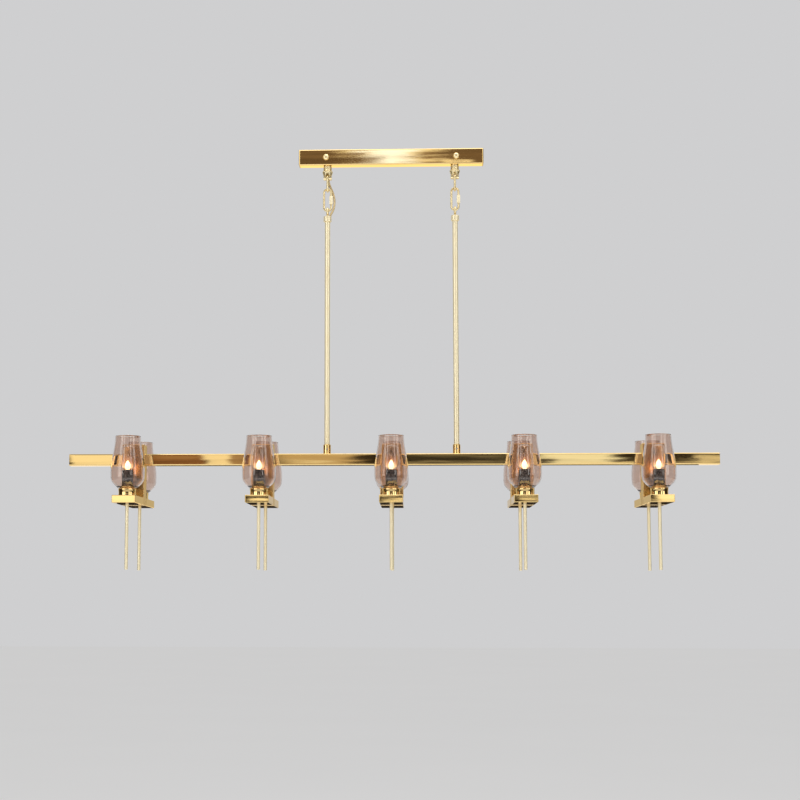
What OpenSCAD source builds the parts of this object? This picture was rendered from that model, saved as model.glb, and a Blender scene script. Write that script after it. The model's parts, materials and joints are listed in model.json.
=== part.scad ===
// Linear ten-lamp pendant light in polished brass, hung from a bar-shaped ceiling canopy.
// Millimetres. The origin is the middle of the canopy's top face, at the ceiling; +X runs
// along the lamp bar, -Y is the front and +Z is up, so everything hangs below z = 0.

/* [Ceiling canopy] */
// Length of the canopy, along the bar
canopy_l = 406; // [370:1:460]
// Depth of the canopy, front to back
canopy_d = 26; // [25:0.5:36]
// Height of the canopy
canopy_h = 35; // [33:0.5:50]
// Wall of the canopy shell
canopy_wall = 1.5; // [1:0.1:2]
// Edge radius of the canopy shell
canopy_edge = 2.5; // [1.6:0.1:4]
// Distance of each cap nut from the middle of the canopy
canopy_nut_x = 143; // [136:0.5:148]
// Diameter of the cap nuts on the canopy's face
canopy_nut_d = 13.4; // [10:0.2:16]

/* [Ceiling bracket] */
// Thickness of the bracket strip
bracket_t = 3; // [2:0.5:4]
// Width of the bracket strip
bracket_w = 19; // [16.5:0.5:20]
// Distance between the two ceiling screw slots
slot_pitch = 120; // [80:5:180]
// Width of each ceiling screw slot
slot_w = 5.5; // [4.5:0.5:6.5]
// End-to-end length of each ceiling screw slot
slot_l = 18; // [12:1:26]
// Diameter of the cable entry in the bracket
cable_entry_d = 10; // [7:0.5:12]
// Diameter of the hook's threaded shank
shank_d = 8; // [6:0.5:9]

/* [Hooks] */
// Drop from the canopy to the pin of the hook
hook_drop = 26.5; // [25:0.5:40]
// Diameter of the hook's neck
hook_neck_d = 16.8; // [15:0.2:20]
// Diameter of the hook's shoulder
hook_shoulder_d = 21.5; // [19.5:0.5:26]
// Width across the two ears of the hook
hook_fork_w = 17.6; // [16.4:0.2:19]
// Gap between the two ears
hook_slot = 6; // [5.4:0.1:7]
// Radius of the ears round the pin
ear_r = 5.2; // [4.6:0.1:6]
// Diameter of the hook's cross pin
pin_d = 5; // [4:0.1:5.4]

/* [Links] */
// Wire diameter of the closed link and of the screw link
link_wire = 4.5; // [3.6:0.1:4.8]
// Inside length of the closed link
upper_link_in = 30.8; // [26:0.1:40]
// Inside width of the closed link
upper_link_gap = 9; // [7:0.5:11]
// Inside length of the screw link
quick_link_in = 44.1; // [42:0.1:60]
// Inside width of the screw link
quick_link_gap = 11; // [10:0.5:16]
// Width across the flats of the screw link's sleeve
sleeve_w = 7.2; // [6.6:0.1:8]
// Length of the screw link's sleeve
sleeve_l = 18.6; // [15:0.2:20]
// Opening in the wire behind the sleeve
gate_gap = 4.9; // [4.8:0.1:5.6]

/* [Hanging rods] */
// Visible length of each hanging rod
rod_l = 491.5; // [300:0.5:1200]
// Diameter of the hanging rods
rod_d = 11.6; // [10:0.1:13]
// Wall of the hanging rods
rod_wall = 1; // [0.8:0.1:1.6]
// Wire diameter of the rod's eye
eye_wire = 5; // [4.4:0.1:5.4]
// Inside diameter of the rod's eye
eye_in_d = 8; // [7.6:0.1:10]
// Diameter of the collar at the top of the rod
collar_d = 17.4; // [16.8:0.1:20]
// Height of the collar at the top of the rod
collar_h = 12; // [11:0.5:18]
// Diameter of the coupling at the foot of the rod
coupling_d = 16; // [15:0.1:19]
// Height of the coupling at the foot of the rod
coupling_h = 20.5; // [16:0.5:28]

/* [Supply cord] */
// Diameter of the supply cord
cord_d = 5; // [4.4:0.1:5]

/* [Lamp bar] */
// Overall length of the lamp bar
bar_l = 1400; // [1340:5:1440]
// Side of the bar's square section
bar_s = 25; // [22:0.5:28]
// Wall of the bar
bar_wall = 1.5; // [1:0.1:2.5]
// Corner radius of the bar
bar_edge = 2.5; // [1.8:0.1:4]
// Thickness of the bar's end caps
cap_t = 2; // [1.5:0.1:4]

/* [Stations] */
// Width of each station box and of its lamp arms
station_w = 50; // [46:0.5:60]
// Height of the station box
box_h = 131; // [124:0.5:160]
// How far the station box stands above the bar
box_over = 20; // [10:0.5:26]
// Wall in front of the bar
box_front = 4; // [3:0.1:6]
// Thickness of the cover behind the bar
cover_t = 3; // [2:0.1:5]
// Side, top and bottom walls of the station box
box_wall = 3; // [2:0.1:5]
// Edge radius of the box, its cover and the arms
soft_edge = 1.2; // [0.6:0.1:1.4]

/* [Lamp arms] */
// Reach of each arm from the middle of the bar
arm_reach = 125; // [118:0.5:150]
// Height of the arm
arm_h = 16; // [15:0.5:20]
// Height of the arm's underside above the foot of the box
arm_lift = 0; // [0:0.5:4]
// Wall of the arm
arm_wall = 2; // [1.6:0.1:2.4]
// Distance of the lamps from the middle of the bar
lamp_y = 80; // [76:0.5:86]

/* [Lamps] */
// Diameter of the cup under the shade
cup_d = 38; // [36:0.5:44]
// Height of the cup
cup_h = 15.5; // [12:0.5:20]
// Diameter of the candle sleeve
candle_d = 24; // [22.4:0.2:26]
// Height of the candle sleeve above the cup
candle_h = 39.5; // [26:0.5:46]
// Diameter of the bulb's glass tube
bulb_d = 28; // [24:0.5:30.6]
// Height of the bulb's glass above the candle sleeve
bulb_h = 53; // [46:1:64]
// Diameter of the bulb's screw cap
bulb_cap_d = 14; // [12:0.5:15]
// Diameter of the drop rod under each lamp
drop_d = 7; // [6:0.2:9]
// Length of the drop rod under each lamp
drop_l = 139; // [80:1:180]

/* [Glass shades] */
// Height of the shade
shade_h = 112; // [100:1:130]
// Diameter of the rim
shade_rim_d = 54; // [44:0.5:62]
// Diameter of the belly
shade_belly_d = 72; // [66:0.5:78]
// Height of the belly above the foot
shade_belly_h = 36; // [28:1:46]
// Height at which the foot turns up into the side
shade_turn_h = 15.5; // [11:0.5:19]
// Diameter of the foot
shade_foot_d = 38; // [36:0.5:40]
// Wall of the glass
shade_wall = 2; // [1.5:0.1:3]

/* [Hidden] */
$fn = 64;

// Clearances
fit_gap = 0.05;   // radial clearance of a pin or spigot in its hole
hang_gap = 0.3;   // rest distance between a hanging piece and what carries it
seat_gap = 0.2;   // rest distance between a shade and its cup
slide_gap = 0.1;  // clearance of the bar in the station boxes
past = 1;         // how far a cut runs past the face that it opens

// Colours, as the photograph shows them
brass = [0.86, 0.68, 0.30];
satin_brass = [0.88, 0.78, 0.52];
pale_gold = [0.90, 0.80, 0.55];
steel = [0.75, 0.76, 0.78];
dark_sleeve = [0.08, 0.07, 0.07];
cream = [0.92, 0.90, 0.84];
smoked_rose = [0.55, 0.36, 0.30, 0.45];
clear_glass = [0.95, 0.90, 0.80, 0.5];

// Hanging points and stations along the bar
station_pitch = bar_l / 5;
hanger_x = station_pitch / 2;
function station_x(i) = (i - 3) * station_pitch;

// Canopy, bracket and shank
canopy_foot = -canopy_h;
canopy_lip = canopy_edge + 0.3;   // width of the rim that is folded in at the top
nut_z = -canopy_h / 2;
nut_h = 6;
stud_d = 4;
nut_crown = 2;
stud_grip = 3;
block_w = 16;
block_h = stud_d / 2 + 1.5 - nut_z - bracket_t;
shank_grip = 9;
lock_nut_h = 6;
strip_end_gap = 0.7;
cable_entry_x = 28;

// Hook, seen from the front: neck, shoulder, waist and two ears
pin_z = canopy_foot - hook_drop;
pin_r = pin_d / 2;
ear_edge = 2.2;
neck_h = 11;
shoulder_h = 5;
waist_h = 6;
slot_top = pin_z + pin_r + hang_gap + link_wire + 1.3;
hook_waist_z = canopy_foot - neck_h - shoulder_h - waist_h;

// Closed link: it lies in the Y-Z plane and hangs on the pin
wire_r = link_wire / 2;
upper_top = pin_z + pin_r + hang_gap;
upper_foot = upper_top - upper_link_in;
upper_r = upper_link_gap / 2 + wire_r;

// Screw link: it lies in the X-Z plane and hangs in the closed link
quick_top = upper_foot + hang_gap;
quick_foot = quick_top - quick_link_in;
quick_r = quick_link_gap / 2 + wire_r;
quick_mid = (quick_top + quick_foot) / 2;
gate_lap = 2.4;   // wire left inside the foot of the closed sleeve
gate_foot = quick_mid - sleeve_l / 2 + gate_lap;

// Rod eye: it lies in the Y-Z plane and hangs in the screw link
eye_r = (eye_in_d + eye_wire) / 2;
eye_z = quick_foot + hang_gap - eye_in_d / 2;
stem_d = 4.4;
stem_l = 2;
stem_grip = 5;
collar_top = eye_z - eye_r - eye_wire / 2 - stem_l;
collar_foot = collar_top - collar_h;
rod_seat = 5;
coupling_top = collar_foot - rod_l;
bar_top = coupling_top - coupling_h;
bar_mid = bar_top - bar_s / 2;
bar_foot = bar_top - bar_s;
ring_edge = 1.2;
spigot_d = 10;
spigot_l = 8;
inner_nut_h = 4;
set_screw_d = 4;
set_screw_l = 3;

// Cord: nozzle at the back of the left hook, blind hole in the top of the left collar
cord_hole_d = cord_d + 0.6;
nozzle_x = 0.8;
nozzle_y = 13.5;
nozzle_d = 9;
nozzle_foot = -58.5;
nozzle_top = -44;
cord_sides = 10;
// Route of the cord's middle line, measured from the axis of the left hook
cord_route = [[0.8, 13.5, -55], [0.8, 13.5, -59.5], [1.8, 13.7, -68], [5, 13, -78],
              [9.2, 11.2, -88], [12.6, 8.7, -98], [14.6, 6, -108], [15, 3.6, -118],
              [13.8, 1.6, -128], [11, 0.5, -136.2], [7.8, 0, -142.4],
              [5.9, 0, -147], [5.6, 0, -149.4], [5.6, 0, -151.7]];
cord_hole_x = 5.6;
cord_hole_depth = 4;

// Station box, its cover and the arms
box_top = bar_top + box_over;
box_foot = box_top - box_h;
box_mid = (box_top + box_foot) / 2;
front_face = bar_s / 2 + box_front;
cover_gap = 1;
cover_face = bar_s / 2 + cover_gap;
back_face = cover_face + cover_t;
arm_foot = box_foot + arm_lift;
arm_top = arm_foot + arm_h;
arm_mid = (arm_foot + arm_top) / 2;
arm_end_wall = 4;
cable_hole_d = 8;
arm_screw_d = 4;
arm_screw_x = station_w * 0.3;
arm_screw_head_d = 7;
arm_screw_head_h = 2.5;

// Lamp: everything stands on the arm at the lamp's axis
cup_floor = 3;
cup_top = arm_top + cup_h;
cup_lip = 1.2;
cup_waist = 1.6;
spigot_gap = 0.4;
shade_hole_r = bulb_d / 2 + 1;
cup_spigot_r = shade_hole_r - spigot_gap;
cup_spigot_h = 3.5;
candle_r = candle_d / 2;
candle_wall = 1.6;
candle_top = cup_top + candle_h;
holder_r = candle_r - candle_wall - fit_gap;
holder_floor = 4;
nipple_d = 10;
nipple_drop = 5;
nipple_nut_w = 14;
nipple_nut_h = 3;
cap_len = 22;
cap_lip_h = 1;
bulb_wall = 0.8;
bulb_neck_r = 6.4;
bulb_taper_h = 6;
bulb_dome_h = 9;
drop_stud_d = 5;
drop_stud_l = 7;
drop_nut_w = 8;
drop_nut_h = 3;
shade_z = cup_top + seat_gap;

// Shapes that several pieces share

module rounded_rect(w, h, r) {
    square([w - 2 * r, h], center = true);
    square([w, h - 2 * r], center = true);
    for (x = [-1, 1], y = [-1, 1])
        translate([x * (w / 2 - r), y * (h / 2 - r)]) circle(r = r);
}

// A block, centred, with its edges rounded along all three axes
module rounded_block(w, d, h, r) {
    intersection() {
        linear_extrude(h, center = true) rounded_rect(w, d, r);
        rotate([90, 0, 0]) linear_extrude(d, center = true) rounded_rect(w, h, r);
        rotate([90, 0, 90]) linear_extrude(w, center = true) rounded_rect(d, h, r);
    }
}

module hex_nut(w, h, bore_r) {
    difference() {
        cylinder(h = h, r = w / 2 / cos(30), $fn = 6);
        translate([0, 0, -past]) cylinder(h = h + 2 * past, r = bore_r);
    }
}

// A rod between two points on one axis, along Y
module rod_y(y0, y1, r) {
    translate([0, y0, 0]) rotate([-90, 0, 0]) cylinder(h = y1 - y0, r = r);
}

// A rod centred on its place, along X
module rod_x(len, r) {
    rotate([0, 90, 0]) cylinder(h = len, r = r, center = true);
}

// Half a ring of round wire in the X-Z plane, open downwards
module half_ring(ring_r, wire_r) {
    rotate([90, 0, 0]) rotate_extrude(angle = 180) translate([ring_r, 0]) circle(r = wire_r);
}

// A long closed link in the X-Z plane whose inside runs from top to foot
module link_wire_loop(top, foot, ring_r, wire_r) {
    top_c = top - ring_r + wire_r;
    foot_c = foot + ring_r - wire_r;
    translate([0, 0, top_c]) half_ring(ring_r, wire_r);
    translate([0, 0, foot_c]) rotate([180, 0, 0]) half_ring(ring_r, wire_r);
    for (x = [-1, 1])
        translate([x * ring_r, 0, foot_c]) cylinder(h = top_c - foot_c, r = wire_r);
}

// A point of the cubic curve with four control points
function bezier(a, b, c, d, t) =
    pow(1 - t, 3) * a + 3 * pow(1 - t, 2) * t * b + 3 * (1 - t) * t * t * c + pow(t, 3) * d;

// The corner points of an outline moved in by a wall, by the normals of its neighbours
function inward(points, wall) = [for (i = [0 : len(points) - 1])
    let (a = points[max(i - 1, 0)], b = points[min(i + 1, len(points) - 1)],
         t = (b - a) / norm(b - a))
    points[i] + wall * [-t[1], t[0]]];

function backwards(points) = [for (i = [len(points) - 1 : -1 : 0]) points[i]];

module at_hangers() {
    for (s = [-1, 1]) translate([s * hanger_x, 0, 0]) children();
}

// Each lamp's axis, front and back at all stations
module at_lamps() {
    for (i = [1 : 5], s = [-1, 1]) translate([station_x(i), s * lamp_y, 0]) children();
}

// Canopy and what it holds

module canopy_shell() {
    color(brass) difference() {
        translate([0, 0, -canopy_h / 2]) rounded_block(canopy_l, canopy_d, canopy_h, canopy_edge);
        translate([-canopy_l / 2 + canopy_wall, -canopy_d / 2 + canopy_wall, -canopy_h + canopy_wall])
            cube([canopy_l - 2 * canopy_wall, canopy_d - 2 * canopy_wall, canopy_h - 2 * canopy_wall]);
        translate([-canopy_l / 2 + canopy_lip, -canopy_d / 2 + canopy_lip, -canopy_h / 2])
            cube([canopy_l - 2 * canopy_lip, canopy_d - 2 * canopy_lip, canopy_h]);
        at_hangers() translate([0, 0, -canopy_h - past])
            cylinder(h = canopy_wall + 2 * past, r = shank_d / 2 + slide_gap);
        for (s = [-1, 1]) translate([s * canopy_nut_x, 0, nut_z])
            rod_y(-canopy_d / 2 - past, -canopy_d / 2 + canopy_wall + past, stud_d / 2 + slide_gap);
    }
}

module ceiling_bracket() {
    strip_l = canopy_l - 2 * canopy_lip - 2 * strip_end_gap;
    color(steel) difference() {
        translate([-strip_l / 2, -bracket_w / 2, -bracket_t]) cube([strip_l, bracket_w, bracket_t]);
        for (s = [-1, 1]) translate([s * slot_pitch / 2, 0, -bracket_t - past])
            linear_extrude(bracket_t + 2 * past) {
                square([slot_l - slot_w, slot_w], center = true);
                for (e = [-1, 1]) translate([e * (slot_l - slot_w) / 2, 0]) circle(d = slot_w);
            }
        translate([cable_entry_x, 0, -bracket_t - past])
            cylinder(h = bracket_t + 2 * past, d = cable_entry_d);
    }
}

// Block welded under each end of the strip: a hook screws into it from below and a stud from the front
module hanger_blocks() {
    mid_x = (hanger_x + canopy_nut_x) / 2;
    span = abs(hanger_x - canopy_nut_x) + block_w;
    color(steel) for (s = [-1, 1]) difference() {
        translate([s * mid_x - span / 2, -bracket_w / 2, -bracket_t - block_h]) cube([span, bracket_w, block_h]);
        translate([s * hanger_x, 0, -bracket_t - block_h - past])
            cylinder(h = shank_grip + past, r = shank_d / 2 + fit_gap);
        translate([s * canopy_nut_x, 0, nut_z])
            rod_y(-bracket_w / 2 - past, -bracket_w / 2 + stud_grip + hang_gap, stud_d / 2 + fit_gap);
    }
}

module canopy_studs() {
    color(steel) for (s = [-1, 1]) translate([s * canopy_nut_x, 0, nut_z])
        rod_y(-canopy_d / 2 - nut_h + nut_crown, -bracket_w / 2 + stud_grip, stud_d / 2);
}

// Domed cap nut with a small dimple, screwed on its stud from the front
module canopy_nuts() {
    rim = 1.4;
    dimple_r = 1.1;
    bore_l = nut_h - nut_crown + fit_gap;
    r = canopy_nut_d / 2;
    crown = [for (a = [90 : -15 : 0]) [r * cos(a), rim + (nut_h - rim) * sin(a)]];
    color(pale_gold) for (s = [-1, 1])
        translate([s * canopy_nut_x, -canopy_d / 2, nut_z]) rotate([90, 0, 0]) difference() {
            rotate_extrude() polygon(concat([[0, 0]], [[0, nut_h]], crown, [[r, 0]]));
            translate([0, 0, -past]) cylinder(h = bore_l + past, r = stud_d / 2 + fit_gap);
            translate([0, 0, nut_h - 0.8]) cylinder(h = past + 0.8, r = dimple_r);
        }
}

module terminal_block() {
    poles = 3;
    pole_w = 9;
    pole_d = 14;
    pole_h = 12;
    color(cream) translate([-cable_entry_x - poles * pole_w / 2, 0, -bracket_t - pole_h]) difference() {
        translate([0, -pole_d / 2, 0]) cube([poles * pole_w, pole_d, pole_h]);
        for (p = [0 : poles - 1]) translate([(p + 0.5) * pole_w, 0, 0]) {
            translate([0, 0, pole_h / 2]) rod_y(-pole_d / 2 - past, pole_d / 2 + past, 2);
            for (y = [-3.5, 3.5]) translate([0, y, -past]) cylinder(h = 3 + past, r = 1.8);
        }
        for (p = [1 : poles - 1]) translate([p * pole_w - 0.5, -pole_d / 2 - past, -past])
            cube([1, pole_d + 2 * past, 3 + past]);
    }
}

// Fork that the closed link hangs in. Neck, shoulder and waist are turned; the ears are flat.
module hook() {
    ear_t = (hook_fork_w - hook_slot) / 2;
    neck_r = hook_neck_d / 2;
    shoulder_r = hook_shoulder_d / 2;
    waist_r = hook_fork_w / 2;
    ear_root = hook_waist_z + 2;
    difference() {
        union() {
            translate([0, 0, canopy_foot - past])
                cylinder(h = past + canopy_h - bracket_t - block_h + shank_grip - hang_gap, r = shank_d / 2);
            rotate_extrude() polygon(concat(
                [[0, canopy_foot], [neck_r, canopy_foot], [neck_r, canopy_foot - neck_h]],
                [for (t = [0.25 : 0.25 : 1]) bezier([neck_r, canopy_foot - neck_h],
                    [shoulder_r, canopy_foot - neck_h], [shoulder_r, canopy_foot - neck_h - 1],
                    [shoulder_r, canopy_foot - neck_h - shoulder_h], t)],
                [[waist_r, hook_waist_z], [0, hook_waist_z]]));
            for (s = [-1, 1]) intersection() {
                translate([s * (hook_slot + ear_t) / 2, 0, 0]) rotate([90, 0, 90])
                    linear_extrude(ear_t, center = true) {
                        translate([0, pin_z]) circle(r = ear_r);
                        translate([-ear_r, pin_z]) square([2 * ear_r, ear_root - pin_z]);
                    }
                rotate([90, 0, 0]) linear_extrude(2 * ear_r + 2, center = true)
                    translate([s * (hook_slot + ear_t) / 2, (ear_root + pin_z - ear_r) / 2])
                        rounded_rect(ear_t, ear_root - pin_z + ear_r, ear_edge);
            }
        }
        translate([-hook_slot / 2, -hook_shoulder_d, pin_z - ear_r - past])
            cube([hook_slot, 2 * hook_shoulder_d, slot_top - pin_z + ear_r + past]);
        translate([0, 0, pin_z]) rod_x(hook_fork_w + 2 * past, pin_r + fit_gap);
    }
}

// The left hook also has the nozzle that the supply cord leaves, behind its shoulder
module hook_left() {
    color(pale_gold) translate([-hanger_x, 0, 0]) difference() {
        union() {
            hook();
            translate([nozzle_x, nozzle_y, nozzle_foot]) cylinder(h = nozzle_top - nozzle_foot, d = nozzle_d);
        }
        translate([nozzle_x, nozzle_y, nozzle_foot - past])
            cylinder(h = past + cord_route[0][2] - cord_route[1][2], d = cord_hole_d);
    }
}

module hook_right() {
    color(pale_gold) translate([hanger_x, 0, 0]) hook();
}

module hook_lock_nuts() {
    color(steel) at_hangers() translate([0, 0, canopy_foot + canopy_wall])
        hex_nut(shank_d * 1.6, lock_nut_h, shank_d / 2 + fit_gap);
}

module hook_pins() {
    color(satin_brass) at_hangers() translate([0, 0, pin_z]) rod_x(hook_fork_w - 0.4, pin_r);
}

// Links

module upper_link() {
    rotate([0, 0, 90]) link_wire_loop(upper_top, upper_foot, upper_r, wire_r);
}

module upper_link_left() {
    color(pale_gold) translate([-hanger_x, 0, 0]) upper_link();
}

module upper_link_right() {
    color(pale_gold) translate([hanger_x, 0, 0]) upper_link();
}

// The screw link is open behind its sleeve, by a little more than the wire
module quick_link() {
    difference() {
        link_wire_loop(quick_top, quick_foot, quick_r, wire_r);
        translate([quick_r - link_wire, -link_wire, gate_foot]) cube([2 * link_wire, 2 * link_wire, gate_gap]);
    }
}

module quick_link_left() {
    color(pale_gold) translate([-hanger_x, 0, 0]) quick_link();
}

module quick_link_right() {
    color(pale_gold) translate([hanger_x, 0, 0]) quick_link();
}

// Hexagonal sleeve with turned ends, free on the wire
module gate_sleeve() {
    flat_r = sleeve_w / 2;
    corner_r = flat_r / cos(30);
    end_h = corner_r - flat_r + 0.5;
    half = sleeve_l / 2;
    translate([quick_r, 0, quick_mid]) difference() {
        intersection() {
            rotate([0, 0, 30]) cylinder(h = sleeve_l, r = corner_r, center = true, $fn = 6);
            rotate_extrude() polygon([[0, -half], [flat_r - 0.4, -half], [corner_r, end_h - half],
                [corner_r, half - end_h], [flat_r - 0.4, half], [0, half]]);
        }
        cylinder(h = sleeve_l + 2 * past, r = wire_r + fit_gap, center = true);
    }
}

module gate_sleeve_left() {
    color(satin_brass) translate([-hanger_x, 0, 0]) gate_sleeve();
}

module gate_sleeve_right() {
    color(satin_brass) translate([hanger_x, 0, 0]) gate_sleeve();
}

// Hanging rods

module rod_eye() {
    translate([0, 0, eye_z]) rotate([0, 90, 0])
        rotate_extrude() translate([eye_r, 0]) circle(r = eye_wire / 2);
    translate([0, 0, collar_top - stem_grip])
        cylinder(h = stem_grip + stem_l + eye_wire / 2, r = stem_d / 2);
}

module rod_eye_left() {
    color(pale_gold) translate([-hanger_x, 0, 0]) rod_eye();
}

module rod_eye_right() {
    color(pale_gold) translate([hanger_x, 0, 0]) rod_eye();
}

// Turned collar with a socket for the rod below and a threaded hole for the eye above
module rod_collar() {
    r = collar_d / 2;
    difference() {
        rotate_extrude() polygon([[0, collar_foot], [r - ring_edge / 2, collar_foot],
            [r, collar_foot + ring_edge / 2], [r, collar_top - ring_edge],
            [r - ring_edge, collar_top], [0, collar_top]]);
        translate([0, 0, collar_foot - past]) cylinder(h = rod_seat + past, r = rod_d / 2 + fit_gap);
        translate([0, 0, collar_top - stem_grip - fit_gap])
            cylinder(h = stem_grip + past, r = stem_d / 2 + fit_gap);
    }
}

module rod_collar_left() {
    color(satin_brass) translate([-hanger_x, 0, 0]) difference() {
        rod_collar();
        translate([cord_hole_x, 0, collar_top - cord_hole_depth])
            cylinder(h = cord_hole_depth + past, d = cord_hole_d);
    }
}

module rod_collar_right() {
    color(satin_brass) translate([hanger_x, 0, 0]) rod_collar();
}

module down_rod() {
    foot = coupling_top - rod_seat;
    h = rod_l + 2 * rod_seat;
    color(satin_brass) difference() {
        translate([0, 0, foot]) cylinder(h = h, r = rod_d / 2);
        translate([0, 0, foot - past]) cylinder(h = h + 2 * past, r = rod_d / 2 - rod_wall);
    }
}

module down_rod_left() {
    translate([-hanger_x, 0, 0]) down_rod();
}

module down_rod_right() {
    translate([hanger_x, 0, 0]) down_rod();
}

// Coupling that stands on the bar, with a hollow spigot through the bar's top wall
module rod_couplings() {
    r = coupling_d / 2;
    wire_way_r = spigot_d / 2 - 1.5;
    color(brass) at_hangers() difference() {
        union() {
            rotate_extrude() polygon([[0, bar_top], [r, bar_top], [r, coupling_top - ring_edge],
                [r - ring_edge, coupling_top], [0, coupling_top]]);
            translate([0, 0, bar_top - spigot_l]) cylinder(h = spigot_l + past, r = spigot_d / 2);
        }
        translate([0, 0, coupling_top - rod_seat]) cylinder(h = rod_seat + past, r = rod_d / 2 + fit_gap);
        translate([0, 0, bar_top - spigot_l - past])
            cylinder(h = coupling_top - bar_top + spigot_l, r = wire_way_r);
        translate([0, 0, (bar_top + coupling_top) / 2])
            rod_y(-r - past, -r + set_screw_l, set_screw_d / 2 + fit_gap);
    }
}

module coupling_screws() {
    color(steel) at_hangers() translate([0, 0, (bar_top + coupling_top) / 2])
        rod_y(-coupling_d / 2 + 0.3, -coupling_d / 2 + set_screw_l, set_screw_d / 2);
}

module coupling_nuts() {
    color(steel) at_hangers() translate([0, 0, bar_top - bar_wall - inner_nut_h])
        hex_nut(spigot_d * 1.5, inner_nut_h, spigot_d / 2 + fit_gap);
}

// Supply cord: one tube along the route's points

cord_path = [for (p = cord_route) p + [-hanger_x, 0, 0]];

function direction(p, i) = let (a = p[max(i - 1, 0)], b = p[min(i + 1, len(p) - 1)]) (b - a) / norm(b - a);

// A ring of points square to the path, with its start turned towards +X
function ring(p, i, r, n) = let (t = direction(p, i), u0 = cross(t, cross([1, 0, 0], t)), u = u0 / norm(u0),
    v = cross(t, u)) [for (k = [0 : n - 1]) p[i] + r * (cos(360 * k / n) * u + sin(360 * k / n) * v)];

module supply_cord() {
    rings = len(cord_path);
    n = cord_sides;
    points = [for (i = [0 : rings - 1], q = ring(cord_path, i, cord_d / 2, n)) q];
    sides = [for (i = [0 : rings - 2], k = [0 : n - 1]) let (j = (k + 1) % n)
        [i * n + k, (i + 1) * n + k, (i + 1) * n + j, i * n + j]];
    first = [for (k = [0 : n - 1]) k];
    last = [for (k = [n - 1 : -1 : 0]) (rings - 1) * n + k];
    color(pale_gold) polyhedron(points = points, faces = concat([first], sides, [last]));
}

// Lamp bar

module bar_profile(side, r) {
    rotate([90, 0, 90]) rounded_rect(side, side, r);
}

module main_bar() {
    tube_l = bar_l - 2 * cap_t;
    color(brass) difference() {
        translate([0, 0, bar_mid]) rotate([90, 0, 90]) linear_extrude(tube_l, center = true) difference() {
            rounded_rect(bar_s, bar_s, bar_edge);
            rounded_rect(bar_s - 2 * bar_wall, bar_s - 2 * bar_wall, bar_edge - bar_wall + 0.2);
        }
        at_hangers() translate([0, 0, bar_top - bar_wall - past])
            cylinder(h = bar_wall + 2 * past, r = spigot_d / 2 + fit_gap);
        for (i = [1 : 5]) translate([station_x(i), 0, bar_foot - past])
            cylinder(h = bar_wall + 2 * past, d = cable_hole_d);
    }
}

// Flat caps with a plug that fits in the tube
module bar_end_caps() {
    plug_l = 8;
    plug_s = bar_s - 2 * bar_wall - 2 * slide_gap;
    color(brass) for (s = [-1, 1]) translate([s * bar_l / 2, 0, bar_mid]) rotate([90, 0, 90])
        mirror([0, 0, s > 0 ? 1 : 0]) {
            linear_extrude(cap_t) rounded_rect(bar_s, bar_s, bar_edge);
            translate([0, 0, cap_t / 2]) linear_extrude(plug_l + cap_t / 2)
                rounded_rect(plug_s, plug_s, bar_edge - bar_wall + 0.4);
        }
}

// Stations

// Box round the bar, open at the back where the cover closes it
module station_box(i) {
    depth = front_face + cover_face;
    inner_w = station_w - 2 * box_wall;
    color(brass) translate([station_x(i), 0, 0]) difference() {
        translate([0, (cover_face - front_face) / 2, box_mid])
            rounded_block(station_w, depth, box_h, soft_edge);
        translate([-inner_w / 2, -bar_s / 2, box_foot + box_wall])
            cube([inner_w, depth + past, box_h - 2 * box_wall]);
        translate([-station_w / 2 - past, -bar_s / 2 - slide_gap, bar_foot - slide_gap])
            cube([station_w + 2 * past, bar_s + 2 * slide_gap, bar_s + 2 * slide_gap]);
        translate([0, 0, arm_mid]) {
            rod_y(-front_face - past, 0, cable_hole_d / 2);
            for (x = [-1, 1]) translate([x * arm_screw_x, 0, 0])
                rod_y(-front_face - past, 0, arm_screw_d / 2 + fit_gap);
        }
    }
}

module station_box_1() { station_box(1); }
module station_box_2() { station_box(2); }
module station_box_3() { station_box(3); }
module station_box_4() { station_box(4); }
module station_box_5() { station_box(5); }

module station_covers() {
    color(brass) for (i = [1 : 5]) translate([station_x(i), 0, 0]) difference() {
        translate([0, cover_face + cover_t / 2, box_mid])
            rounded_block(station_w, cover_t, box_h, min(soft_edge, cover_t * 0.45));
        translate([0, 0, arm_mid]) {
            rod_y(0, back_face + past, cable_hole_d / 2);
            for (x = [-1, 1]) translate([x * arm_screw_x, 0, 0])
                rod_y(0, back_face + past, arm_screw_d / 2 + fit_gap);
        }
        translate([0, 0, bar_mid]) rod_y(0, back_face + past, arm_screw_d / 2 + fit_gap);
    }
}

// Set screws through the covers, which hold the boxes on the bar
module cover_screws() {
    color(steel) for (i = [1 : 5]) translate([station_x(i), 0, bar_mid])
        rod_y(bar_s / 2 + fit_gap, back_face - 0.4, arm_screw_d / 2);
}

// One hollow arm, from a face of the box out to its closed end. Side -1 is the front.
module lamp_arm(side) {
    root = side < 0 ? front_face : back_face;
    len = arm_reach - root;
    hollow_l = len - arm_wall - arm_end_wall;
    translate([0, side * (root + len / 2), arm_mid]) difference() {
        rounded_block(station_w, len, arm_h, soft_edge);
        translate([0, side * (arm_end_wall - arm_wall) / 2, 0])
            cube([station_w - 2 * arm_wall, hollow_l, arm_h - 2 * arm_wall], center = true);
        translate([0, side * (lamp_y - root - len / 2), 0]) {
            cylinder(h = arm_h, r = nipple_d / 2 + fit_gap);
            translate([0, 0, -arm_h]) cylinder(h = arm_h, r = drop_stud_d / 2 + fit_gap);
        }
        translate([0, -side * (len / 2), 0]) {
            rotate([90, 0, 0]) cylinder(h = 3 * arm_end_wall, d = cable_hole_d, center = true);
            for (x = [-1, 1]) translate([x * arm_screw_x, 0, 0])
                rotate([90, 0, 0]) cylinder(h = 2 * arm_end_wall - past, r = arm_screw_d / 2 + fit_gap, center = true);
        }
    }
}

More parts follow.
